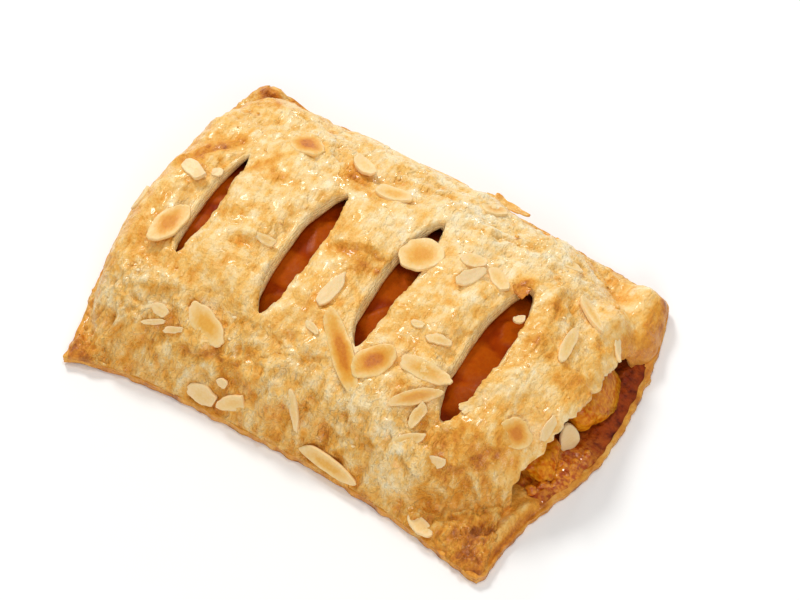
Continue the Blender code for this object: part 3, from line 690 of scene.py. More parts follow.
def calm_share(x, y):
    """Less fine relief on the smooth back tab and at the tips of the corners."""
    (calm_x, calm_y), radius, calm = SMOOTH_FOLD
    fold = math.exp(-(math.hypot(x - calm_x, y - calm_y) / radius) ** 4)
    tip = smooth_step((tab_closeness(x, y) - TIP_START) / (1.0 - TIP_START))
    return (1.0 - calm * fold) * (1.0 - TIP_CALM * tip)


def streaks(x, y):
    """Fine creases that run down the dough's sides."""
    return noise.noise(Vector((x / STREAK_SPAN[0], y / STREAK_SPAN[1], STREAK_SEED)))


def ledge(x, y, start, end, height, reach):
    """Relief of one torn layer, and how near the foot of its edge a place is."""
    share, left = along_line(x, y, start, end)
    outside, behind = LEDGE_MARGINS
    if abs(share - 0.5) >= 0.5 + LEDGE_PAST or not -outside < left < reach + behind:
        return 0.0, 0.0
    left += waves(x, y, LEDGE_WANDER)
    ends = between_ends(share, *LEDGE_ENDS)
    relief = height * smooth_step(left / LEDGE_EDGE) * (1.0 - smooth_step(left / reach))
    foot_place, foot_width = LEDGE_FOOT
    foot = math.exp(-((left + foot_place) / foot_width) ** 2)
    return ends * relief, ends * foot


def fine_relief(x, y):
    side = crumpled_share(y)
    relief = FLAKE_STEP * layer_edges(x, y)
    relief += BLISTER_HEIGHT * blisters(x, y) * (1.0 - BLISTERS_OFF_SIDES * side)
    patch = CRUMPLE_SPREAD + waves(x, y, CRUMPLE_PATCHES)
    relief += blend(*CRUMPLE_HEIGHTS, side) * patch * crumple(x, y)
    relief += STREAK_HEIGHT * side * streaks(x, y)
    relief *= calm_share(x, y)
    relief += waves(x, y, GRAIN)
    (horn_x, horn_y), radius, height = HORN
    relief += height * math.exp(-(math.hypot(x - horn_x, y - horn_y) / radius) ** 2)
    for start, end, width, height, _ in FOLDS:
        relief += height * fold_closeness(x, y, start, end, width)
    for row in LEDGES:
        relief += ledge(x, y, *row)[0]
    return relief


def browning(x, y, z):
    """How far the dough has baked, with painted light and shade from its relief added:
    nought is cream, one is brown.
    """
    value = PLAIN_BROWNING + waves(x, y, BAKED_PATCHES)
    # painted sheen on the far top
    value -= FAR_TOP_PAINTED_SHEEN * ramp(y, *FAR_TOP_SHEEN_RAMPS[0]) * ramp(x, *FAR_TOP_SHEEN_RAMPS[1])
    value += FRONT_BROWNER * ramp(-y, *FRONT_RAMP)
    value += LEFT_DARKER * ramp(-x, *LEFT_RAMP)
    value += RIM_BROWNER * (1.0 - ramp(z, *RIM_RAMP))
    # baked colour and painted shade at the foot of each layer's step
    value += LAYER_EDGE_BROWNING_AND_SHADE * near_layer_edge(x, y)
    value -= BLISTER_PALER * blisters(x, y)
    # painted light on the crumples' ridges and painted shade in their hollows
    value -= blend(*RIDGE_LIGHT_HOLLOW_SHADE, crumpled_share(y)) * crumple(x, y) * calm_share(x, y)
    value += FOLD_BROWNER * ramp(x, *FOLD_END_RAMPS[0]) * ramp(y, *FOLD_END_RAMPS[1])
    # baked colour with painted shade in the creases and painted light on the ridges
    strength, spread = FOLD_BROWNING_AND_SHADE
    for start, end, width, _, fold_tone_and_shade in FOLDS:
        value += strength * fold_tone_and_shade * fold_closeness(x, y, start, end, spread * width)
    # painted shade along the foot of each torn layer's edge
    for row in LEDGES:
        value += LEDGE_FOOT_SHADE * ledge(x, y, *row)[1]
    value = min(value, MOST_GOLDEN)
    for (spot_x, spot_y), radius, amount in SPOTS:
        away = math.hypot(x - spot_x, y - spot_y) / radius
        if away < SPOT_REACH:
            ragged = 1.0 + waves(x, y, SPOT_RAGGED)
            value += amount * math.exp(-(away * ragged) ** 2)
    return min(value, MOST_BROWN)


# --- Making pieces ------------------------------------------------------------------
def select_only(thing):
    bpy.ops.object.select_all(action="DESELECT")
    thing.select_set(True)
    bpy.context.view_layer.objects.active = thing


def edit_chosen(thing, kind, chosen, operate):
    """Runs mesh operators in edit mode on the chosen vertices, edges or faces alone."""
    select_only(thing)
    bpy.ops.object.mode_set(mode="EDIT")
    bpy.ops.mesh.select_mode(type=kind)
    bpy.ops.mesh.select_all(action="DESELECT")
    bpy.ops.object.mode_set(mode="OBJECT")
    mesh = thing.data
    items = {"VERT": mesh.vertices, "EDGE": mesh.edges, "FACE": mesh.polygons}[kind]
    for index in chosen:
        items[index].select = True
    bpy.ops.object.mode_set(mode="EDIT")
    operate()
    bpy.ops.object.mode_set(mode="OBJECT")


def start_grid(name, columns, rows):
    """A flat grid with a vertex at each pair of stops."""
    bpy.ops.object.select_all(action="DESELECT")
    bpy.ops.mesh.primitive_grid_add(
        x_subdivisions=len(columns) - 1, y_subdivisions=len(rows) - 1, size=2.0)
    sheet = bpy.context.object
    sheet.name = name
    for vertex in sheet.data.vertices:
        column = round((vertex.co.x + 1.0) / 2.0 * (len(columns) - 1))
        row = round((vertex.co.y + 1.0) / 2.0 * (len(rows) - 1))
        vertex.co = (columns[column], rows[row], 0.0)
    return sheet


def add_wall(thing, thickness):
    """Gives a sheet its thickness, downwards; the new vertices follow the old ones."""
    select_only(thing)
    wall = thing.modifiers.new("wall", "SOLIDIFY")
    wall.thickness = thickness
    wall.offset = -1.0
    bpy.ops.object.modifier_apply(modifier=wall.name)


def round_off(thing):
    select_only(thing)
    smoother = thing.modifiers.new("smoother", "SUBSURF")
    smoother.levels = smoother.render_levels = 1
    bpy.ops.object.modifier_apply(modifier=smoother.name)


def set_values(thing, name, values):
    """Stores one number a vertex, which the materials read by its name."""
    mesh = thing.data
    layer = mesh.attributes.get(name) or mesh.attributes.new(name, "FLOAT", "POINT")
    layer.data.foreach_set("value", values)


def get_values(thing, name):
    return [item.value for item in thing.data.attributes[name].data]


def finish_piece(piece, material, replaced=()):
    """Puts a piece into metres and into the frame, with its finish."""
    piece.data.transform(Matrix.Scale(MM, 4))
    piece.data.materials.clear()
    piece.data.materials.append(material)
    piece.data.shade_smooth()
    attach(piece, "root")
    if replaced:
        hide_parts(*replaced)


def join_pieces(name, pieces):
    bpy.ops.object.select_all(action="DESELECT")
    for piece in pieces:
        piece.select_set(True)
    bpy.context.view_layer.objects.active = pieces[0]
    bpy.ops.object.join()
    pieces[0].name = name
    return pieces[0]


# --- The lid ------------------------------------------------------------------------
def lid_columns():
    slits = [slit_x / CORNER_X for slit_x, _ in SLIT_PLACES]
    stops = []
    for cell in range(LID_END_CELLS):
        share = (cell / LID_END_CELLS) ** LID_END_CROWDING
        stops.append(blend(-1.0, slits[0], share))
    for left, right in zip(slits, slits[1:]):
        for cell in range(LID_STRIP_CELLS):
            stops.append(blend(left, right, cell / LID_STRIP_CELLS))
    for cell in range(LID_END_CELLS + 1):
        share = (1.0 - cell / LID_END_CELLS) ** LID_END_CROWDING
        stops.append(blend(1.0, slits[-1], share))
    return stops


def crowded_rows(count):
    stops = []
    for row in range(count + 1):
        even = 2.0 * row / count - 1.0
        stops.append(blend(even, math.sin(even * math.pi / 2.0), EDGE_CROWDING))
    return stops


def on_a_slit(start, end):
    for slit, (slit_x, _) in enumerate(SLIT_PLACES):
        on_line = max(abs(start.x - slit_x), abs(end.x - slit_x)) < SLIT_LINE_WIDTH
        if on_line and slit_opening(slit, (start.y + end.y) / 2.0) > 0.0:
            return True
    return False


def sides_of_seams(mesh):
    """For each vertex, on which side of it along X its faces lie."""
    total = [0.0] * len(mesh.vertices)
    for face in mesh.polygons:
        for index in face.vertices:
            total[index] += face.center.x - mesh.vertices[index].co.x
    return [math.copysign(1.0, value) for value in total]


def free_edge_thinness(along, across):
    """How thin the lid is at its free edge over the mouth, as a share of its full wall."""
    near_edge = ramp(along, *FREE_EDGE_RAMP) * mouth_window(across)
    return 1.0 - FREE_EDGE_THINNING * near_edge


def layer_walls(sheet, count):
    """Splits a sheet's walls into rows, and gives the outward direction of each new vertex.

    The first count vertices are the sheet's outside and the next count its underside.
    """
    set_values(sheet, "depth", [0.0] * count + [1.0] * count)
    bridges = [edge.index for edge in sheet.data.edges
               if (edge.vertices[0] < count) != (edge.vertices[1] < count)]
    edit_chosen(sheet, "EDGE", bridges,
                lambda: bpy.ops.mesh.subdivide(number_cuts=LAYER_CUTS))
    sheet.data.update()
    vertices = sheet.data.vertices
    return {index: vertices[index].normal.copy()
            for index in range(2 * count, len(vertices))}


def make_lid(material):
    lid = start_grid("lid_crust", lid_columns(), crowded_rows(LID_ROWS))
    vertices = lid.data.vertices
    shares = [(vertex.co.x, vertex.co.y) for vertex in vertices]
    for vertex, (along, across) in zip(vertices, shares):
        ragged = waves(across * EDGE_SPAN[0], 0.0, FREE_EDGE_WANDER)
        x, y = sheet_place(along, across, setback=MOUTH_SETBACK + ragged)
        vertex.co = (x, y, 0.0)
    set_values(lid, "along", [along for along, _ in shares])
    set_values(lid, "across", [across for _, across in shares])
    seams = [edge.index for edge in lid.data.edges
             if on_a_slit(*(vertices[index].co for index in edge.vertices))]
    edit_chosen(lid, "EDGE", seams, lambda: bpy.ops.mesh.edge_split(type="EDGE"))
    vertices = lid.data.vertices
    for vertex, side in zip(vertices, sides_of_seams(lid.data)):
        x, y = vertex.co.x, vertex.co.y
        x = pushed_aside(x, y, side)
        vertex.co = (x, y, lid_height(x, y))
    count = len(vertices)
    add_wall(lid, SHEET_THICKNESS)
    vertices = lid.data.vertices
    along, across = get_values(lid, "along"), get_values(lid, "across")
    normals = [vertex.normal.copy() for vertex in vertices[:count]]
    for index in range(count):
        outside, under = vertices[index], vertices[index + count]
        x, y = outside.co.x, outside.co.y
        thinness = free_edge_thinness(along[index], across[index])
        under.co = outside.co.lerp(under.co, thinness)
        base_top = BASE_THICKNESS + tab_lift(x, y)
        if under.co.z < base_top + SEAL_REACH or dome_norm(x, y) > 1.0:
            under.co = (x, y, base_top - EMBED_DEPTH)
        else:
            under.co.x += wall_lean(x, y)
    shape_dough(lid, count, normals, layer_walls(lid, count))
    finish_piece(lid, material, ("pastry",))


def rim_roll(along, across):
    """How far the lid's rim rolls down to the base, but not over the mouth."""
    start, drop = RIM_ROLL
    outward = abs(across) if along > 0.0 else max(abs(along), abs(across))
    return drop * smooth_step((outward - start) / (1.0 - start)) ** 2


def layer_jut(x, y, layer, height):
    """How far one layer of a cut face stands out of it."""
    return height * noise.noise(Vector((x / JUT_SPAN, y / JUT_SPAN, layer)))


def shape_dough(sheet, count, normals, wall_normals):
    """Raises a sheet's fine relief, roughens its cut faces and notes its browning, painted
    light and shade included.
    """
    vertices = sheet.data.vertices
    depth = get_values(sheet, "depth")
    along, across = get_values(sheet, "along"), get_values(sheet, "across")
    baked, cut = [], []
    for index, vertex in enumerate(vertices):
        x, y, z = vertex.co
        roll = rim_roll(along[index], across[index])
        if index < count:
            steepness = blend(RELIEF_ON_SLOPES, 1.0, normals[index].z)
            vertex.co += normals[index] * fine_relief(x, y) * steepness
            vertex.co.z -= roll
            baked.append(browning(x, y, z))
            cut.append(0.0)
        elif index < 2 * count:
            baked.append(UNDERSIDE_LOOKS[0])
            cut.append(UNDERSIDE_LOOKS[1])
        else:
            vertex.co.z -= roll * (1.0 - depth[index])
            on_rim = max(abs(along[index]), abs(across[index])) > RIM_START
            cut.append(RIM_CUT if on_rim else WALL_CUT)
            jut = layer_jut(x, y, depth[index] * CUT_LAYERS * LID_LAYER_STEP, LID_JUT)
            jut += WALL_BULGE * math.sin(math.pi * depth[index])
            vertex.co += wall_normals[index] * jut
            baked.append(browning(x, y, z) + WALL_BAKED)
    set_values(sheet, "browning", baked)
    set_values(sheet, "cut", cut)
    set_values(sheet, "crease", [
        calm_share(vertex.co.x, vertex.co.y)
        * blend(CREASES_ON_TOP, 1.0, crumpled_share(vertex.co.y))
        for vertex in vertices])


# --- The base sheet -----------------------------------------------------------------
# Its lip is rolled up beside the mouth: ends along Y, height, width, place from the edge
LIP_ROLL = ((-47.0, -20.0), 1.7, 1.4, 3.4)
LIP_GROOVE = (0.7, 0.7, 1.2)        # depth, width, place from the edge
LIP_FADES = (5.0, 6.0)              # at the roll's two ends


def lip_roll(from_edge, y):
    """How near the top of the rolled lip, and the groove outside it, a place is."""
    (start, end), _, width, place = LIP_ROLL
    beside = smooth_step((y - start) / LIP_FADES[0]) * smooth_step((end - y) / LIP_FADES[1])
    place += waves(y, 0.0, LIP_WANDER)
    roll = beside * math.exp(-((from_edge - place) / width) ** 2)
    groove = beside * math.exp(-((from_edge - LIP_GROOVE[2]) / LIP_GROOVE[1]) ** 2)
    return roll, groove


def make_base(material):
    columns = [1.0 - 2.0 * (1.0 - column / BASE_COLUMNS) ** BASE_CROWDING
               for column in range(BASE_COLUMNS + 1)]
    base = start_grid("base_crust", columns, crowded_rows(BASE_ROWS))
    (_, roll_height, _, _), (groove_depth, _, _) = LIP_ROLL, LIP_GROOVE
    rolls = []
    for vertex in base.data.vertices:
        along, across = vertex.co.x, vertex.co.y
        edge = max(abs(along), abs(across)) ** BASE_EDGE_POWER
        ragged = edge * waves(along * EDGE_SPAN[0], across * EDGE_SPAN[1], BASE_RAGGED)
        x, y = sheet_place(along, across, lip=BASE_LIP + ragged)
        mouth = ramp(x, *MOUTH_FLOOR) * mouth_window(across)
        top = BASE_THICKNESS - MOUTH_THINNING * edge * mouth + tab_lift(x, y)
        top += mouth * waves(x, y, MOUTH_FLOOR_WAVES)
        from_edge = sheet_place(1.0, across, lip=BASE_LIP)[0] - x
        roll, groove = lip_roll(from_edge, y)
        rolls.append(groove - roll)
        vertex.co = (x, y, top + roll_height * roll - groove_depth * groove)
    count = len(base.data.vertices)
    add_wall(base, BASE_THICKNESS)
    vertices = base.data.vertices
    for outside, under in zip(vertices[:count], vertices[count:]):
        x, y = outside.co.x, outside.co.y
        under.co = (x, y, tab_lift(x, y))
    wall_normals = layer_walls(base, count)
    depth = get_values(base, "depth")
    baked = []
    for index, vertex in enumerate(base.data.vertices):
        x, y, _ = vertex.co
        patch = waves(x, y, BASE_PATCHES)
        if index in wall_normals:
            jut = layer_jut(x, y, depth[index] * BASE_LAYER_STEP, BASE_JUT)
            vertex.co += wall_normals[index] * jut
            baked.append(BASE_BROWNING["wall"] + patch)
        elif index >= count:
            baked.append(BASE_BROWNING["underside"] + patch)
        else:
            baked.append(BASE_BROWNING["top"] + patch + LIP_ROLL_TONE * rolls[index])
    set_values(base, "browning", baked)
    set_values(base, "cut", [BASE_WALL_CUT if index in wall_normals else 0.0
                             for index in range(len(base.data.vertices))])
    finish_piece(base, material, ("pastry",))


# --- The filling --------------------------------------------------------------------
# Pear cubes just under the jelly: middle, half size, turn in degrees, rise
CUBES = (
    ((-15.0, 7.0), 6.5, 24.0, 0.9),
    ((-20.0, -6.5), 5.5, -12.0, 0.5),
    ((-17.0, -17.0), 4.5, 30.0, 0.6),
    ((-46.0, 6.0), 5.0, 15.0, 0.6),
    ((-47.0, -9.0), 5.5, 40.0, 0.4),
    ((8.5, -9.0), 5.0, -35.0, 1.0),
    ((6.0, 3.0), 5.5, 10.0, 0.5),
    ((8.0, 15.0), 5.0, 30.0, 0.5),
    ((38.5, 7.0), 4.2, 20.0, 0.9),
    ((35.0, -6.0), 6.0, -20.0, 0.5),
    ((37.0, -16.0), 4.5, 12.0, 0.7),
    ((35.0, 15.0), 4.0, 35.0, 0.5),
)
CUBE_SQUARENESS = 5
CUBE_EDGE = 0.22            # share of a cube over which its top rounds down to the jelly
CUBE_RISE = 0.45            # share of the table's rise
JELLY_WAVES = ((0.2, 6.0, 101.0),)


def cube_share(x, y):
    """Where a pear cube's flat top pushes the jelly up: one on top, nought beside it."""
    best, rise_here = 0.0, 0.0
    for (cube_x, cube_y), half, turn, rise in CUBES:
        away_x, away_y = x - cube_x, y - cube_y
        if abs(away_x) < 2.0 * half and abs(away_y) < 2.0 * half:
            cos, sin = math.cos(math.radians(turn)), math.sin(math.radians(turn))
            side = (abs(away_x * cos + away_y * sin) ** CUBE_SQUARENESS
                    + abs(away_y * cos - away_x * sin) ** CUBE_SQUARENESS)
            share = smooth_step((1.0 - side ** (1.0 / CUBE_SQUARENESS) / half) / CUBE_EDGE)
            if share > best:
                best, rise_here = share, rise
    return best, best * rise_here


def foot_width(x, back):
    near, far = 0.0, BACK_WAIST
    for _ in range(FOOT_SEARCH_STEPS):
        middle = (near + far) / 2.0
        if dome_norm(x, middle if back else -middle) < FILLING_SHARE:
            near = middle
        else:
            far = middle
    return near


def under_lid(x, y):
    depth = SHEET_THICKNESS + FIT_GAP + FILLING_SINK
    point = Vector((x, y, dome_height(x, y))) - dome_normal(x, y) * depth
    point.z = max(point.z, BASE_THICKNESS + FIT_GAP + FILLING_FOOT)
    return point


def make_filling(material):
    foot = CORNER_X + END_BULGES[0] - DOME_MARGIN
    left = FILLING_END - foot * FILLING_SHARE ** (1.0 / LEFT_SHOULDER)
    columns = [blend(left, MOUTH_FACE, column / FILLING_COLUMNS)
               for column in range(FILLING_COLUMNS + 1)]
    rows = [2.0 * row / FILLING_ROWS - 1.0 for row in range(FILLING_ROWS + 1)]
    filling = start_grid("pear_filling", columns, rows)
    feet = {x: (foot_width(x, False), foot_width(x, True)) for x in columns}
    pears = []
    for vertex in filling.data.vertices:
        x = min(columns, key=lambda stop: abs(stop - vertex.co.x))
        y = vertex.co.y * feet[x][vertex.co.y > 0.0]
        point = under_lid(x, y)
        if x == columns[-1]:
            point.x = MOUTH_FACE
        share, rise = cube_share(point.x, point.y)
        point.z += CUBE_RISE * rise + waves(point.x, point.y, JELLY_WAVES)
        vertex.co = point
        pears.append(share)
    set_values(filling, "pear", pears)
    outline = {}
    for face in filling.data.polygons:
        for key in face.edge_keys:
            outline[key] = outline.get(key, 0) + 1
    rim = [edge.index for edge in filling.data.edges
           if outline[tuple(sorted(edge.vertices))] == 1]
    count = len(filling.data.vertices)
    edit_chosen(filling, "EDGE", rim, lambda: bpy.ops.mesh.extrude_edges_move())
    for vertex in filling.data.vertices[count:]:
        vertex.co.z = BASE_THICKNESS + FIT_GAP
    bottom = [vertex.index for vertex in filling.data.vertices[count:]]
    edit_chosen(filling, "VERT", bottom, lambda: bpy.ops.mesh.edge_face_add())
    edit_chosen(filling, "FACE", range(len(filling.data.polygons)),
                lambda: bpy.ops.mesh.normals_make_consistent(inside=False))
    finish_piece(filling, material, ("filling",))


# --- Pear chunks in the mouth -------------------------------------------------------
def ceiling(x, y):
    room = SHEET_THICKNESS / dome_normal(x, y).z + FIT_GAP + LUMP_HEIGHT
    return dome_height(x, y) - room


def make_chunk(material, name, middle, half_sizes, turn):
    bpy.ops.object.select_all(action="DESELECT")
    bpy.ops.mesh.primitive_ico_sphere_add(subdivisions=CHUNK_FINENESS, radius=1.0)
    chunk = bpy.context.object
    chunk.name = name + "_flesh"
    turned = Matrix.Rotation(math.radians(turn), 3, "Z")
    centre = Vector(middle)
    (dimple, dimple_size), (wear, wear_size) = CHUNK_DIMPLES, CHUNK_TOP_WEAR
    for vertex in chunk.data.vertices:
        direction = vertex.co.normalized()
        norm = sum(abs(value) ** CHUNK_SQUARENESS for value in direction)
        norm **= 1.0 / CHUNK_SQUARENESS
        point = Vector([value / norm * half for value, half in zip(direction, half_sizes)])
        place = point + centre
        lump = sum(height * noise.noise(place / size) for height, size in CHUNK_LUMPS)
        lump -= dimple * abs(noise.noise(place / dimple_size))
        point = turned @ (point + direction * lump) + centre
        top = ceiling(point.x, point.y) - wear * abs(noise.noise(place / wear_size))
        point.z = max(min(point.z, top), BASE_THICKNESS - CHUNK_SINK)
        vertex.co = point
    finish_piece(chunk, material, (name,))


# --- Baked syrup on the lip of the mouth --------------------------------------------
# The base's shares that the syrup covers, and how much of each side it thins out over
SYRUP_ALONG = (0.78, 0.985)
SYRUP_ACROSS = (-0.46, 0.78)
SYRUP_FADES = (0.1, 0.12, 0.08, 0.06)   # inside, outside, front, back
SYRUP_MIDDLE = (0.08, 0.70)         # across: the middle and half width of its bulge
SYRUP_END = (0.972, 0.020)          # along: how far it runs, and how much further there
SYRUP_END_WANDER = ((0.006, 4.0, 111.0),)
SYRUP_DEPTH = (0.8, 0.5)            # everywhere, and more in the pool
SYRUP_SINK = (0.35, 1.0)            # of its rim and of its underside, into the base
SYRUP_WALL = 0.6
SYRUP_LUMPS = ((2.8, 113.0, 0.4, 1.3), (1.1, 115.0, 0.4, 0.15))     # size, seed, dry, wet
POOL = (-13.0, 9.0)                 # along Y: middle, half width of the wettest syrup


def make_syrup(material):
    columns = [blend(*SYRUP_ALONG, column / SYRUP_COLUMNS)
               for column in range(SYRUP_COLUMNS + 1)]
    rows = [blend(*SYRUP_ACROSS, row / SYRUP_ROWS) for row in range(SYRUP_ROWS + 1)]
    syrup = start_grid("baked_syrup", columns, rows)
    inside, outside, front, back = SYRUP_FADES
    wet = []
    for vertex in syrup.data.vertices:
        along, across = vertex.co.x, vertex.co.y
        spread = 1.0 - abs((across - SYRUP_MIDDLE[0]) / SYRUP_MIDDLE[1]) ** 3
        end = SYRUP_END[0] + SYRUP_END[1] * spread
        end += waves(across * EDGE_SPAN[0], 0.0, SYRUP_END_WANDER)
        share = (along - SYRUP_ALONG[0]) / (SYRUP_ALONG[1] - SYRUP_ALONG[0])
        x, y = sheet_place(blend(SYRUP_ALONG[0], end, share), across, lip=BASE_LIP)
        film = smooth_step(min(
            share / inside, (1.0 - share) / outside,
            (across - SYRUP_ACROSS[0]) / front, (SYRUP_ACROSS[1] - across) / back))
        pool = math.exp(-((y - POOL[0]) / POOL[1]) ** 2)
        depth = SYRUP_DEPTH[0] + SYRUP_DEPTH[1] * pool
        for size, seed, dry_height, wet_height in SYRUP_LUMPS:
            depth += blend(dry_height, wet_height, pool) * ripple(x, y, size, seed)
        vertex.co = (x, y, BASE_THICKNESS - SYRUP_SINK[0] + film * depth)
        wet.append(pool)
    set_values(syrup, "wet", wet)
    count = len(syrup.data.vertices)
    add_wall(syrup, SYRUP_WALL)
    for outside, under in zip(syrup.data.vertices[:count], syrup.data.vertices[count:]):
        under.co = (outside.co.x, outside.co.y, BASE_THICKNESS - SYRUP_SINK[1])
    finish_piece(syrup, material)


# Small bits of pear half sunk in the syrup: middle, half sizes, turn
PEAR_BITS = (
    ((62.4, -10.6), (1.6, 1.2, 1.1), 20.0),
    ((64.6, -12.4), (1.3, 1.0, 0.9), -30.0),
    ((61.6, -18.2), (1.9, 1.5, 1.4), 40.0),
    ((63.6, -16.0), (1.1, 1.4, 1.0), 10.0),
    ((65.2, -8.6), (1.2, 1.7, 0.9), 0.0),
    ((59.6, -21.0), (1.7, 1.3, 1.5), -20.0),
    ((66.2, -4.8), (0.9, 1.3, 0.8), 15.0),
    ((62.2, -13.6), (0.9, 0.8, 0.9), 60.0),
)
PEAR_BIT_RISE = 0.3         # of its middle over the base
PEAR_BIT_LUMP = (0.3, 1.6)  # share of its size, and the lumps' size
PEAR_BIT_WETNESS = 0.9


def make_pear_bits(material):
    bits = []
    for (x, y), half_sizes, turn in PEAR_BITS:
        bpy.ops.object.select_all(action="DESELECT")
        bpy.ops.mesh.primitive_ico_sphere_add(subdivisions=PEAR_BIT_FINENESS, radius=1.0)
        bit = bpy.context.object
        turned = Matrix.Rotation(math.radians(turn), 3, "Z")
        seat = Vector((x, y, BASE_THICKNESS + PEAR_BIT_RISE))
        for vertex in bit.data.vertices:
            shape = Vector([value * half for value, half in zip(vertex.co, half_sizes)])
            lump = 1.0 + PEAR_BIT_LUMP[0] * noise.noise(shape / PEAR_BIT_LUMP[1] + seat)
            vertex.co = turned @ (shape * lump) + seat
        set_values(bit, "wet", [PEAR_BIT_WETNESS] * len(bit.data.vertices))
        bits.append(bit)
    finish_piece(join_pieces("pear_bits", bits), material)


# --- Almond slices ------------------------------------------------------------------
def make_slice_blank():
    """A round plate of radius 1 and thickness 1 with a soft rim, to shape slices from."""
    bpy.ops.object.select_all(action="DESELECT")
    bpy.ops.mesh.primitive_circle_add(vertices=SLICE_SIDES, radius=1.0, fill_type="NGON")
    blank = bpy.context.object
    bpy.ops.object.mode_set(mode="EDIT")
    bpy.ops.mesh.select_all(action="SELECT")
    for width in SLICE_RINGS:
        bpy.ops.mesh.inset(thickness=width)
    bpy.ops.mesh.poke()
    bpy.ops.object.mode_set(mode="OBJECT")
    set_values(blank, "rim", [vertex.co.length for vertex in blank.data.vertices])
    add_wall(blank, 1.0)
    round_off(blank)
    return blank


def lay_slice(blank, row, thickness, ragged, sink, number, sag=None):
    """Copies the blank, cuts it to a slice's outline, bends it and lays it on the lid."""
    middle, size, turn, point, chop, tone, curl, lift = row
    piece = blank.copy()
    piece.data = blank.data.copy()
    bpy.context.scene.collection.objects.link(piece)
    up = dome_normal(*middle)
    forward = Vector((math.cos(math.radians(turn)), math.sin(math.radians(turn)), 0.0))
    sideways = up.cross(forward).normalized()
    forward = sideways.cross(up)
    rotation = Matrix((forward, sideways, up)).transposed().to_4x4()
    place = Matrix.Translation((*middle, lid_height(*middle))) @ rotation
    limit = 1.0 - 2.0 * chop
    wave_height, wave_size, wave_step = FACE_WAVES
    for vertex in piece.data.vertices:
        along, across, level = vertex.co
        angle = math.atan2(across, along)
        around = Vector((math.cos(angle), math.sin(angle), 0.0))
        uneven_rim = 1.0
        for strength, fineness, seed_step in RIM_WAVES:
            seed = Vector((0.0, 0.0, seed_step * number))
            uneven_rim += strength * ragged * noise.noise(around * fineness + seed)
        along, across = along * uneven_rim, across * uneven_rim
        broken = limit + BREAK_SLANT * across
        if along > broken:
            along = blend(broken, along, BREAK_LEFT)
        x = along * size[0] / 2.0
        y = across * size[1] / 2.0 * (1.0 - point * (along / 2.0 + 0.5))
        height = (level + 1.0) * thickness - sink
        height += curl * along * along + lift * (across + 1.0) / 2.0
        height += wave_height * ripple(along, across, wave_size, wave_step * number)
        laid = place @ Vector((x, y, height))
        curved = lid_height(laid.x, laid.y) + height / up.z
        laid.z = blend(laid.z, curved, sag or SLICE_SAG * up.z ** 2)
        vertex.co = laid
    set_values(piece, "tone", [tone] * len(piece.data.vertices))
    return piece


def stand_slice(blank, foot, size, turn, lean, tone):
    """Copies the blank and stands it on its long edge, leaning over."""
    piece = blank.copy()
    piece.data = blank.data.copy()
    bpy.context.scene.collection.objects.link(piece)
    forward = Vector((math.cos(math.radians(turn)), math.sin(math.radians(turn)), 0.0))
    aside = Vector((-forward.y, forward.x, 0.0))
    upward = Vector((*lean, 1.0)).normalized()
    for vertex in piece.data.vertices:
        along, across, level = vertex.co
        height = (along + 1.0) * size[0] / 2.0
        width = across * size[1] / 2.0 * (1.0 - STANDING_TAPER * along)
        bend = STANDING_BOW * along * along + waves(along, across, STANDING_WAVES)
        vertex.co = Vector(foot) + upward * height + forward * width + aside * (
            (level + 0.5) * SLICE_THICKNESS + bend)
    set_values(piece, "tone", [tone] * len(piece.data.vertices))
    return piece


def lay_slices(blank, rows, cut, sag=None):
    """Lays one slice for each row of a table, all cut alike."""
    thickness, ragged, sink, first = cut
    return [lay_slice(blank, row, thickness, ragged, sink, number, sag)
            for number, row in enumerate(rows, first)]


def make_slices(material):
    blank = make_slice_blank()
    pieces = lay_slices(blank, SLICES, SLICE_CUT)
    slivers = lay_slices(blank, SLIVERS, SLIVER_CUT)
    slivers += [stand_slice(blank, *row) for row in STANDING_SLICES]
    bpy.data.objects.remove(blank)
    finish_piece(join_pieces("almond_slices", pieces), material, ("pastry",))
    finish_piece(join_pieces("almond_slivers", slivers), material)


# --- Loose flakes and crumbs of dough -----------------------------------------------
def make_loose_flakes(material):
    blank = make_slice_blank()
    pieces = lay_slices(blank, LOOSE_FLAKES, FLAKE_CUT, FLAKE_SAG)
    bpy.data.objects.remove(blank)
    flakes = join_pieces("loose_flakes", pieces)
    set_values(flakes, "browning", get_values(flakes, "tone"))
    finish_piece(flakes, material)


def on_open_slit(x, y):
    """Whether a place is over a slit or at its very edge."""
    for slit, (slit_x, _) in enumerate(SLIT_PLACES):
        half_gap = SLIT_HALVES[slit][x > slit_x] * slit_opening(slit, y)
        if abs(x - slit_x) < half_gap + CRUMB_MARGIN:
            return True
    return False


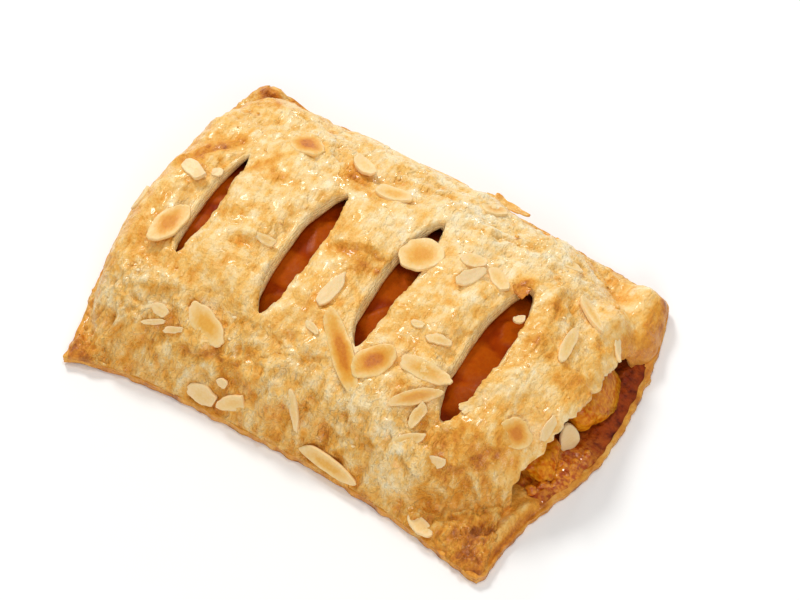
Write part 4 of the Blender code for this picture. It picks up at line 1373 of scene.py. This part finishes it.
def make_crumbs(material):
    """Crumbs of dough and sugar that stuck to the egg wash."""
    draw = random.Random(CRUMB_SEED)
    bpy.ops.object.select_all(action="DESELECT")
    bpy.ops.mesh.primitive_ico_sphere_add(subdivisions=CRUMB_FINENESS, radius=1.0)
    blank = bpy.context.object
    lump, fineness = CRUMB_LUMP
    crumbs = []
    while len(crumbs) < CRUMB_COUNT:
        x, y = (draw.uniform(*span) for span in CRUMB_AREA)
        size = draw.uniform(*CRUMB_SIZES)
        crowd = CRUMB_CROWDING + waves(x, y, CRUMB_CROWDS)
        if on_open_slit(x, y) or dome_norm(x, y) > LID_EDGE or draw.random() > crowd:
            continue
        crumb = blank.copy()
        crumb.data = blank.data.copy()
        bpy.context.scene.collection.objects.link(crumb)
        seat = Vector((x, y, lid_height(x, y) + CRUMB_RISE * size))
        spin = Matrix.Rotation(draw.uniform(0.0, math.tau), 3, "Z")
        for vertex in crumb.data.vertices:
            shape = vertex.co * (1.0 + lump * noise.noise(vertex.co * fineness + seat))
            vertex.co = spin @ (shape * Vector(CRUMB_SHAPE) * size) + seat
        baked = draw.uniform(*CRUMB_BAKED)
        set_values(crumb, "browning", [baked] * len(crumb.data.vertices))
        crumbs.append(crumb)
    bpy.data.objects.remove(blank)
    finish_piece(join_pieces("crumbs", crumbs), material)


# --- Shader building blocks ---------------------------------------------------------
EVEN = (1.0, 1.0, 1.0)
NOISE_SPAN = (0.3, 0.7)     # where nearly all of a noise's values lie


def paint(colour):
    """A colour as seen on a screen, 0 to 255, as the shader's linear light."""
    seen = (value / 255.0 for value in colour)
    return (*(value / 12.92 if value <= 0.04045 else ((value + 0.055) / 1.055) ** 2.4
              for value in seen), 1.0)


def fill_sockets(tree, sockets, values):
    """Sets each socket to its number or colour, or links it from another socket."""
    for name, value in values.items():
        if isinstance(value, bpy.types.NodeSocket):
            tree.links.new(value, sockets[name])
        else:
            sockets[name].default_value = value


def add_node(tree, kind, values):
    made = tree.nodes.new("ShaderNode" + kind)
    fill_sockets(tree, made.inputs, values)
    return made


def use_group(tree, group, values):
    made = tree.nodes.new("ShaderNodeGroup")
    made.node_tree = group
    fill_sockets(tree, made.inputs, values)
    return made.outputs


def noise_at(tree, vector, scale, detail=2.0, stretch=EVEN):
    """Noise whose scale counts its cells in a millimetre."""
    placed = add_node(tree, "Mapping", {"Vector": vector, "Scale": stretch})
    field = add_node(tree, "TexNoise", {
        "Vector": placed.outputs["Vector"], "Scale": scale, "Detail": detail})
    return field.outputs["Fac"]


def remap(tree, value, low, high, to_low=0.0, to_high=1.0):
    made = add_node(tree, "MapRange", {
        "Value": value, "From Min": low, "From Max": high,
        "To Min": to_low, "To Max": to_high})
    return made.outputs["Result"]


def swing(tree, field, reach):
    """Noise as a change to both sides of nought."""
    return remap(tree, field, *NOISE_SPAN, -reach, reach)


def calculate(tree, operation, first, second):
    made = add_node(tree, "Math", {0: first, 1: second})
    made.operation = operation
    return made.outputs[0]


def add_part(tree, total, part, strength):
    return calculate(tree, "ADD", total, calculate(tree, "MULTIPLY", part, strength))


def mix_colours(tree, share, first, second):
    made = tree.nodes.new("ShaderNodeMix")
    made.data_type = "RGBA"
    fill_sockets(tree, made.inputs, {0: share, 6: first, 7: second})
    return made.outputs[2]


def mix_paints(tree, share, paints):
    return mix_colours(tree, share, *(paint(colour) for colour in paints))


def colour_ramp(tree, share, stops):
    made = add_node(tree, "ValToRGB", {"Fac": share})
    elements = made.color_ramp.elements
    while len(elements) < len(stops):
        elements.new(1.0)
    for element, (place, colour) in zip(elements, stops):
        element.position = place
        element.color = paint(colour)
    return made.outputs["Color"]


def vertex_value(tree, name):
    made = tree.nodes.new("ShaderNodeAttribute")
    made.attribute_name = name
    return made.outputs["Fac"]


def place_in_millimetres(tree):
    place = tree.nodes.new("ShaderNodeTexCoord").outputs["Object"]
    return add_node(tree, "Mapping", {
        "Vector": place, "Scale": (1.0 / MM,) * 3}).outputs["Vector"]


def bumps(tree, height, distance):
    """Normals of a fine relief; the distance is its full height, in metres."""
    made = add_node(tree, "Bump", {"Height": height, "Distance": distance, "Strength": 1.0})
    return made.outputs["Normal"]


def start_group(name, inputs, outputs):
    """An empty node group with named sockets: its tree, its inputs and its output node."""
    tree = bpy.data.node_groups.new(name, "ShaderNodeTree")
    for direction, sockets in (("INPUT", inputs), ("OUTPUT", outputs)):
        for socket, kind in sockets.items():
            tree.interface.new_socket(
                name=socket, in_out=direction, socket_type="NodeSocket" + kind)
    given = tree.nodes.new("NodeGroupInput").outputs
    result = tree.nodes.new("NodeGroupOutput").inputs
    return tree, given, result


def start_material(name):
    """A new material: itself, its tree, its shader's sockets and places in millimetres."""
    material = bpy.data.materials.new(name)
    material.use_nodes = True
    tree = material.node_tree
    return material, tree, tree.nodes["Principled BSDF"].inputs, place_in_millimetres(tree)


# --- Finishes -----------------------------------------------------------------------
# Colours are as seen on a screen, 0 to 255; tones run from pale to brown
DOUGH_TONES = (
    (0.00, (255, 236, 194)), (0.18, (252, 218, 155)), (0.36, (245, 193, 103)),
    (0.54, (235, 164, 56)), (0.70, (216, 136, 38)), (0.84, (182, 102, 28)),
    (1.00, (120, 62, 22)),
)
# Uneven browning: cells in a millimetre, detail, stretch, reach
DOUGH_MOTTLES = (
    (0.28, 2.0, EVEN, 0.12),
    (0.8, 2.0, (1.0, 0.25, 0.5), 0.08),
    (1.8, 1.0, EVEN, 0.035),
)
# Wrinkles: cells in a millimetre, stretch, width
DOUGH_CREASES = (
    (0.30, (1.0, 0.5, 0.8), 0.05),
    (0.6, (1.0, 0.4, 0.8), 0.07),
)
CREASE_PALER = 0.07
GLOSS_SPAN = (0.38, 0.58)
# Strengths in the dough's relief
GRAIN_RELIEF = 0.6
STREAK_RELIEF = 0.5
CREASE_RELIEF = 0.22
CUT_RELIEF = 0.18
CUT_STRIPES = (5.5, 2.2)    # layers seen across a cut, and how far they wander
CUT_STRIPE_SPAN = (0.08, 0.30)
CUT_COLOURS = ((246, 208, 138), (252, 226, 170))
CUT_SKIN_SHARE = 0.3
ALMOND_TONES = (
    (0.0, (247, 217, 166)), (0.2, (242, 202, 130)), (0.42, (235, 176, 74)),
    (0.65, (226, 150, 34)), (0.88, (206, 118, 12)), (1.0, (156, 76, 8)),
)
ALMOND_HEART = (0.04, 0.72)     # inwards from the rim: the toasted middle begins, is full
ALMOND_TOASTING = (0.72, 0.18)  # of the middle, and of the whole slice
JELLY_COLOURS = ((130, 40, 0), (154, 56, 0))
PEAR_IN_JELLY_COLOURS = ((160, 62, 0), (190, 94, 8))
PEAR_IN_JELLY_SHARE = 0.7
PEAR_COLOURS = ((188, 82, 0), (216, 120, 4))
PEAR_GRAIN_COLOUR = (236, 164, 34)
PEAR_GRAIN_SPAN = (0.36, 0.74)
BURNT_COLOURS = ((78, 12, 0), (132, 36, 0))
BURNT_CLOUD_COLOUR = (172, 72, 4)
WET_SYRUP_COLOURS = ((196, 84, 2), (252, 166, 44))
WET_SYRUP_SHARE = 0.95
SYRUP_GRAIN_SPAN = (0.38, 0.62)
FLOOR_COLOURS = ((252, 253, 255), (254, 255, 255))


def crease_lines(tree, place, scale, stretch, width):
    """Thin wandering lines, as where baked layers wrinkle."""
    field = noise_at(tree, place, scale, 3.0, stretch)
    off_line = calculate(tree, "ABSOLUTE", calculate(tree, "SUBTRACT", field, 0.5), 0.0)
    return remap(tree, off_line, 0.0, width, 1.0, 0.0)


def dough_tone_group():
    """Mottled colour of baked dough from its browning, with thin layers at a cut."""
    tree, given, result = start_group(
        "dough_tone",
        {"Place": "Vector", "Browning": "Float", "Cut": "Float", "Depth": "Float",
         "Crease": "Float"},
        {"Colour": "Color", "Gloss": "Float", "Relief": "Float"})
    place = given["Place"]
    baked, mottles = given["Browning"], []
    for scale, detail, stretch, reach in DOUGH_MOTTLES:
        mottles.append(noise_at(tree, place, scale, detail, stretch))
        baked = calculate(tree, "ADD", baked, swing(tree, mottles[-1], reach))
    _, streaks, _ = mottles
    broad, fine = (crease_lines(tree, place, *row) for row in DOUGH_CREASES)
    creases = calculate(tree, "ADD", broad, fine)
    creases = calculate(tree, "MULTIPLY", creases, given["Crease"])
    skin = colour_ramp(tree, add_part(tree, baked, creases, -CREASE_PALER), DOUGH_TONES)
    wander = remap(tree, noise_at(tree, place, 0.5), 0.0, 1.0, 0.0, CUT_STRIPES[1])
    layers = add_part(tree, wander, given["Depth"], CUT_STRIPES[0])
    stripe = remap(tree, calculate(tree, "PINGPONG", layers, 0.5), *CUT_STRIPE_SPAN)
    inside = mix_paints(tree, stripe, CUT_COLOURS)
    cut_tone = mix_colours(tree, CUT_SKIN_SHARE, inside, skin)
    relief = calculate(tree, "MULTIPLY", noise_at(tree, place, 1.1), GRAIN_RELIEF)
    relief = add_part(tree, relief, streaks, STREAK_RELIEF)
    relief = add_part(tree, relief, creases, CREASE_RELIEF)
    cut_relief = calculate(tree, "MULTIPLY", stripe, given["Cut"])
    fill_sockets(tree, result, {
        "Colour": mix_colours(tree, given["Cut"], skin, cut_tone),
        "Gloss": remap(tree, noise_at(tree, place, 0.22), *GLOSS_SPAN),
        "Relief": add_part(tree, relief, cut_relief, CUT_RELIEF)})
    return tree


def dough_finish(dough_tone):
    material, tree, shader, place = start_material("baked_dough")
    tone = use_group(tree, dough_tone, {
        "Place": place, "Browning": vertex_value(tree, "browning"),
        "Cut": vertex_value(tree, "cut"), "Depth": vertex_value(tree, "depth"),
        "Crease": vertex_value(tree, "crease")})
    fill_sockets(tree, shader, {
        "Base Color": tone["Colour"],
        "Roughness": remap(tree, tone["Gloss"], 0.0, 1.0, 0.60, 0.42),
        "Coat Weight": remap(tree, tone["Gloss"], 0.0, 1.0, 0.05, 0.45),
        "Coat Roughness": 0.14,
        "Specular IOR Level": 0.30,
        "Subsurface Weight": 0.10,
        "Subsurface Radius": (1.0, 0.7, 0.4),
        "Subsurface Scale": 0.0008,
        "Normal": bumps(tree, tone["Relief"], 0.0009)})
    return material


def almond_finish():
    """Cream rim and a toasted middle, with the faint grain of a cut nut."""
    material, tree, shader, place = start_material("toasted_almond")
    middle = calculate(tree, "SUBTRACT", 1.0, vertex_value(tree, "rim"))
    wobble = swing(tree, noise_at(tree, place, 0.35), 0.10)
    heart = remap(tree, calculate(tree, "ADD", middle, wobble), *ALMOND_HEART)
    tone = vertex_value(tree, "tone")
    fibres = swing(tree, noise_at(tree, place, 1.6, 2.0, (1.0, 0.5, 1.0)), 0.05)
    toasted = calculate(tree, "MULTIPLY", heart, tone)
    baked = add_part(tree, fibres, toasted, ALMOND_TOASTING[0])
    baked = add_part(tree, baked, tone, ALMOND_TOASTING[1])
    fill_sockets(tree, shader, {
        "Base Color": colour_ramp(tree, baked, ALMOND_TONES),
        "Roughness": 0.42,
        "Subsurface Weight": 0.2,
        "Subsurface Radius": (1.0, 0.6, 0.3),
        "Subsurface Scale": 0.0015,
        "Normal": bumps(tree, noise_at(tree, place, 1.8, 3.0), 0.00012)})
    return material


def moist_group():
    """Soft lumps and tiny beads on wet, cooked fruit."""
    tree, given, result = start_group(
        "moist_fruit", {"Place": "Vector", "Lumps": "Float"},
        {"Relief": "Float", "Cloud": "Float"})
    broad = noise_at(tree, given["Place"], 0.35)
    fine = noise_at(tree, given["Place"], 1.6, 3.0)
    fill_sockets(tree, result, {
        "Relief": add_part(tree, broad, fine, given["Lumps"]),
        "Cloud": remap(tree, broad, *NOISE_SPAN)})
    return tree


def filling_finish(moist):
    material, tree, shader, place = start_material("pear_jelly")
    fruit = use_group(tree, moist, {"Place": place, "Lumps": 0.15})
    jelly = mix_paints(tree, fruit["Cloud"], JELLY_COLOURS)
    flesh = mix_paints(tree, noise_at(tree, place, 0.8), PEAR_IN_JELLY_COLOURS)
    share = calculate(tree, "MULTIPLY", vertex_value(tree, "pear"), PEAR_IN_JELLY_SHARE)
    fill_sockets(tree, shader, {
        "Base Color": mix_colours(tree, share, jelly, flesh),
        "Roughness": 0.3,
        "Specular IOR Level": 0.03,
        "Coat Weight": 0.01,
        "Coat Roughness": 0.1,
        "Normal": bumps(tree, fruit["Relief"], 0.0002)})
    return material


def pear_finish(moist):
    material, tree, shader, place = start_material("cooked_pear")
    fruit = use_group(tree, moist, {"Place": place, "Lumps": 0.35})
    grain = remap(tree, noise_at(tree, place, 0.9), *PEAR_GRAIN_SPAN)
    amber = mix_paints(tree, fruit["Cloud"], PEAR_COLOURS)
    fill_sockets(tree, shader, {
        "Base Color": mix_colours(tree, grain, amber, paint(PEAR_GRAIN_COLOUR)),
        "Roughness": 0.25,
        "Specular IOR Level": 0.08,
        "Coat Weight": 0.15,
        "Coat Roughness": 0.08,
        "Subsurface Weight": 0.3,
        "Subsurface Radius": (1.0, 0.5, 0.15),
        "Subsurface Scale": 0.003,
        "Normal": bumps(tree, fruit["Relief"], 0.0003)})
    return material


def syrup_finish(moist):
    material, tree, shader, place = start_material("baked_syrup")
    fruit = use_group(tree, moist, {"Place": place, "Lumps": 0.9})
    grain = remap(tree, noise_at(tree, place, 0.8), *SYRUP_GRAIN_SPAN)
    burnt = mix_paints(tree, grain, BURNT_COLOURS)
    dark = mix_colours(tree, fruit["Cloud"], burnt, paint(BURNT_CLOUD_COLOUR))
    amber = mix_paints(tree, grain, WET_SYRUP_COLOURS)
    wet = vertex_value(tree, "wet")
    share = calculate(tree, "MULTIPLY", wet, WET_SYRUP_SHARE)
    fill_sockets(tree, shader, {
        "Base Color": mix_colours(tree, share, dark, amber),
        "Coat Weight": remap(tree, wet, 0.2, 1.0, 0.06, 1.0),
        "Roughness": remap(tree, wet, 0.1, 0.8, 0.55, 0.12),
        "Specular IOR Level": 0.2,
        "Coat Roughness": 0.03,
        "Normal": bumps(tree, fruit["Relief"], 0.0004)})
    return material


def floor_finish():
    material, tree, shader, place = start_material("pale_floor")
    faint = noise_at(tree, place, 0.004)
    fill_sockets(tree, shader, {
        "Base Color": mix_paints(tree, faint, FLOOR_COLOURS),
        "Roughness": 0.9})
    return material


# --- Floor, light and camera --------------------------------------------------------
VIEW_AZIMUTH = math.radians(31.4)
VIEW_ELEVATION = math.radians(55.8)
VIEW_DISTANCE = 1.0238          # metres
VIEW_LENS = 180.0
FRAME_OFFSET = (0.00742, 0.00819)   # from the pastry's middle to the picture's, in metres
FLOOR_SIZE = 6.0
FLOOR_DEPTH = 0.0001        # under the pastry, in metres
# Name, direction, distance and size in metres, watts, colour
LIGHTS = (
    ("window", (-0.66, 0.42, 0.8), 1.3, 0.30, 8.2, (1.0, 0.985, 0.95)),
    ("back", (-0.2, 0.95, 0.32), 1.3, 0.12, 2.2, (1.0, 0.99, 0.97)),
    ("overhead", (0.25, -0.1, 1.0), 1.4, 0.9, 1.5, (1.0, 0.98, 0.95)),
    ("sparkle", (0.05, 0.15, 1.0), 1.3, 0.14, 2.4, (1.0, 1.0, 1.0)),
    ("front_fill", (0.5, -0.8, 0.6), 1.5, 0.7, 6.1, (1.0, 0.94, 0.86)),
)
STUDIO_GLOW = 0.36          # strength of the plain white surroundings


def make_floor():
    bpy.ops.object.select_all(action="DESELECT")
    bpy.ops.mesh.primitive_plane_add(size=FLOOR_SIZE, location=(0.0, 0.0, -FLOOR_DEPTH))
    floor = bpy.context.object
    floor.name = "floor"
    floor.data.materials.append(floor_finish())


def add_light(name, direction, distance, size, watts, colour):
    data = bpy.data.lights.new(name, "AREA")
    data.shape = "DISK"
    data.size = size
    data.energy = watts
    data.color = colour
    light = bpy.data.objects.new(name, data)
    bpy.context.scene.collection.objects.link(light)
    away = Vector(direction).normalized()
    light.location = away * distance
    light.rotation_mode = "QUATERNION"
    light.rotation_quaternion = (-away).to_track_quat("-Z", "Y")


def make_lights():
    for row in LIGHTS:
        add_light(*row)
    world = bpy.data.worlds.new("studio")
    world.use_nodes = True
    background = world.node_tree.nodes["Background"].inputs
    background["Color"].default_value = (1.0, 1.0, 1.0, 1.0)
    background["Strength"].default_value = STUDIO_GLOW
    bpy.context.scene.world = world


def make_camera():
    back = Vector((math.sin(VIEW_AZIMUTH) * math.cos(VIEW_ELEVATION),
                   -math.cos(VIEW_AZIMUTH) * math.cos(VIEW_ELEVATION),
                   math.sin(VIEW_ELEVATION)))
    right = Vector((math.cos(VIEW_AZIMUTH), math.sin(VIEW_AZIMUTH), 0.0))
    up = back.cross(right)
    data = bpy.data.cameras.new("camera")
    data.lens = VIEW_LENS
    data.clip_start = 0.01
    camera = bpy.data.objects.new("camera", data)
    bpy.context.scene.collection.objects.link(camera)
    aim = right * FRAME_OFFSET[0] + up * FRAME_OFFSET[1]
    camera.rotation_mode = "QUATERNION"
    camera.rotation_quaternion = Matrix((right, up, back)).transposed().to_quaternion()
    camera.location = aim + back * VIEW_DISTANCE
    bpy.context.scene.camera = camera


# --- The whole picture --------------------------------------------------------------
def build_object():
    moist = moist_group()
    crust = dough_finish(dough_tone_group())
    almond = almond_finish()
    pear = pear_finish(moist)
    make_lid(crust)
    make_base(crust)
    make_filling(filling_finish(moist))
    for chunk in CHUNKS:
        make_chunk(pear, *chunk)
    syrup = syrup_finish(moist)
    make_pear_bits(syrup)
    make_syrup(syrup)
    make_slices(almond)
    make_loose_flakes(crust)
    make_crumbs(crust)


make_camera()
make_lights()
make_floor()
bpy.context.scene.view_settings.view_transform = "Standard"
build_object()
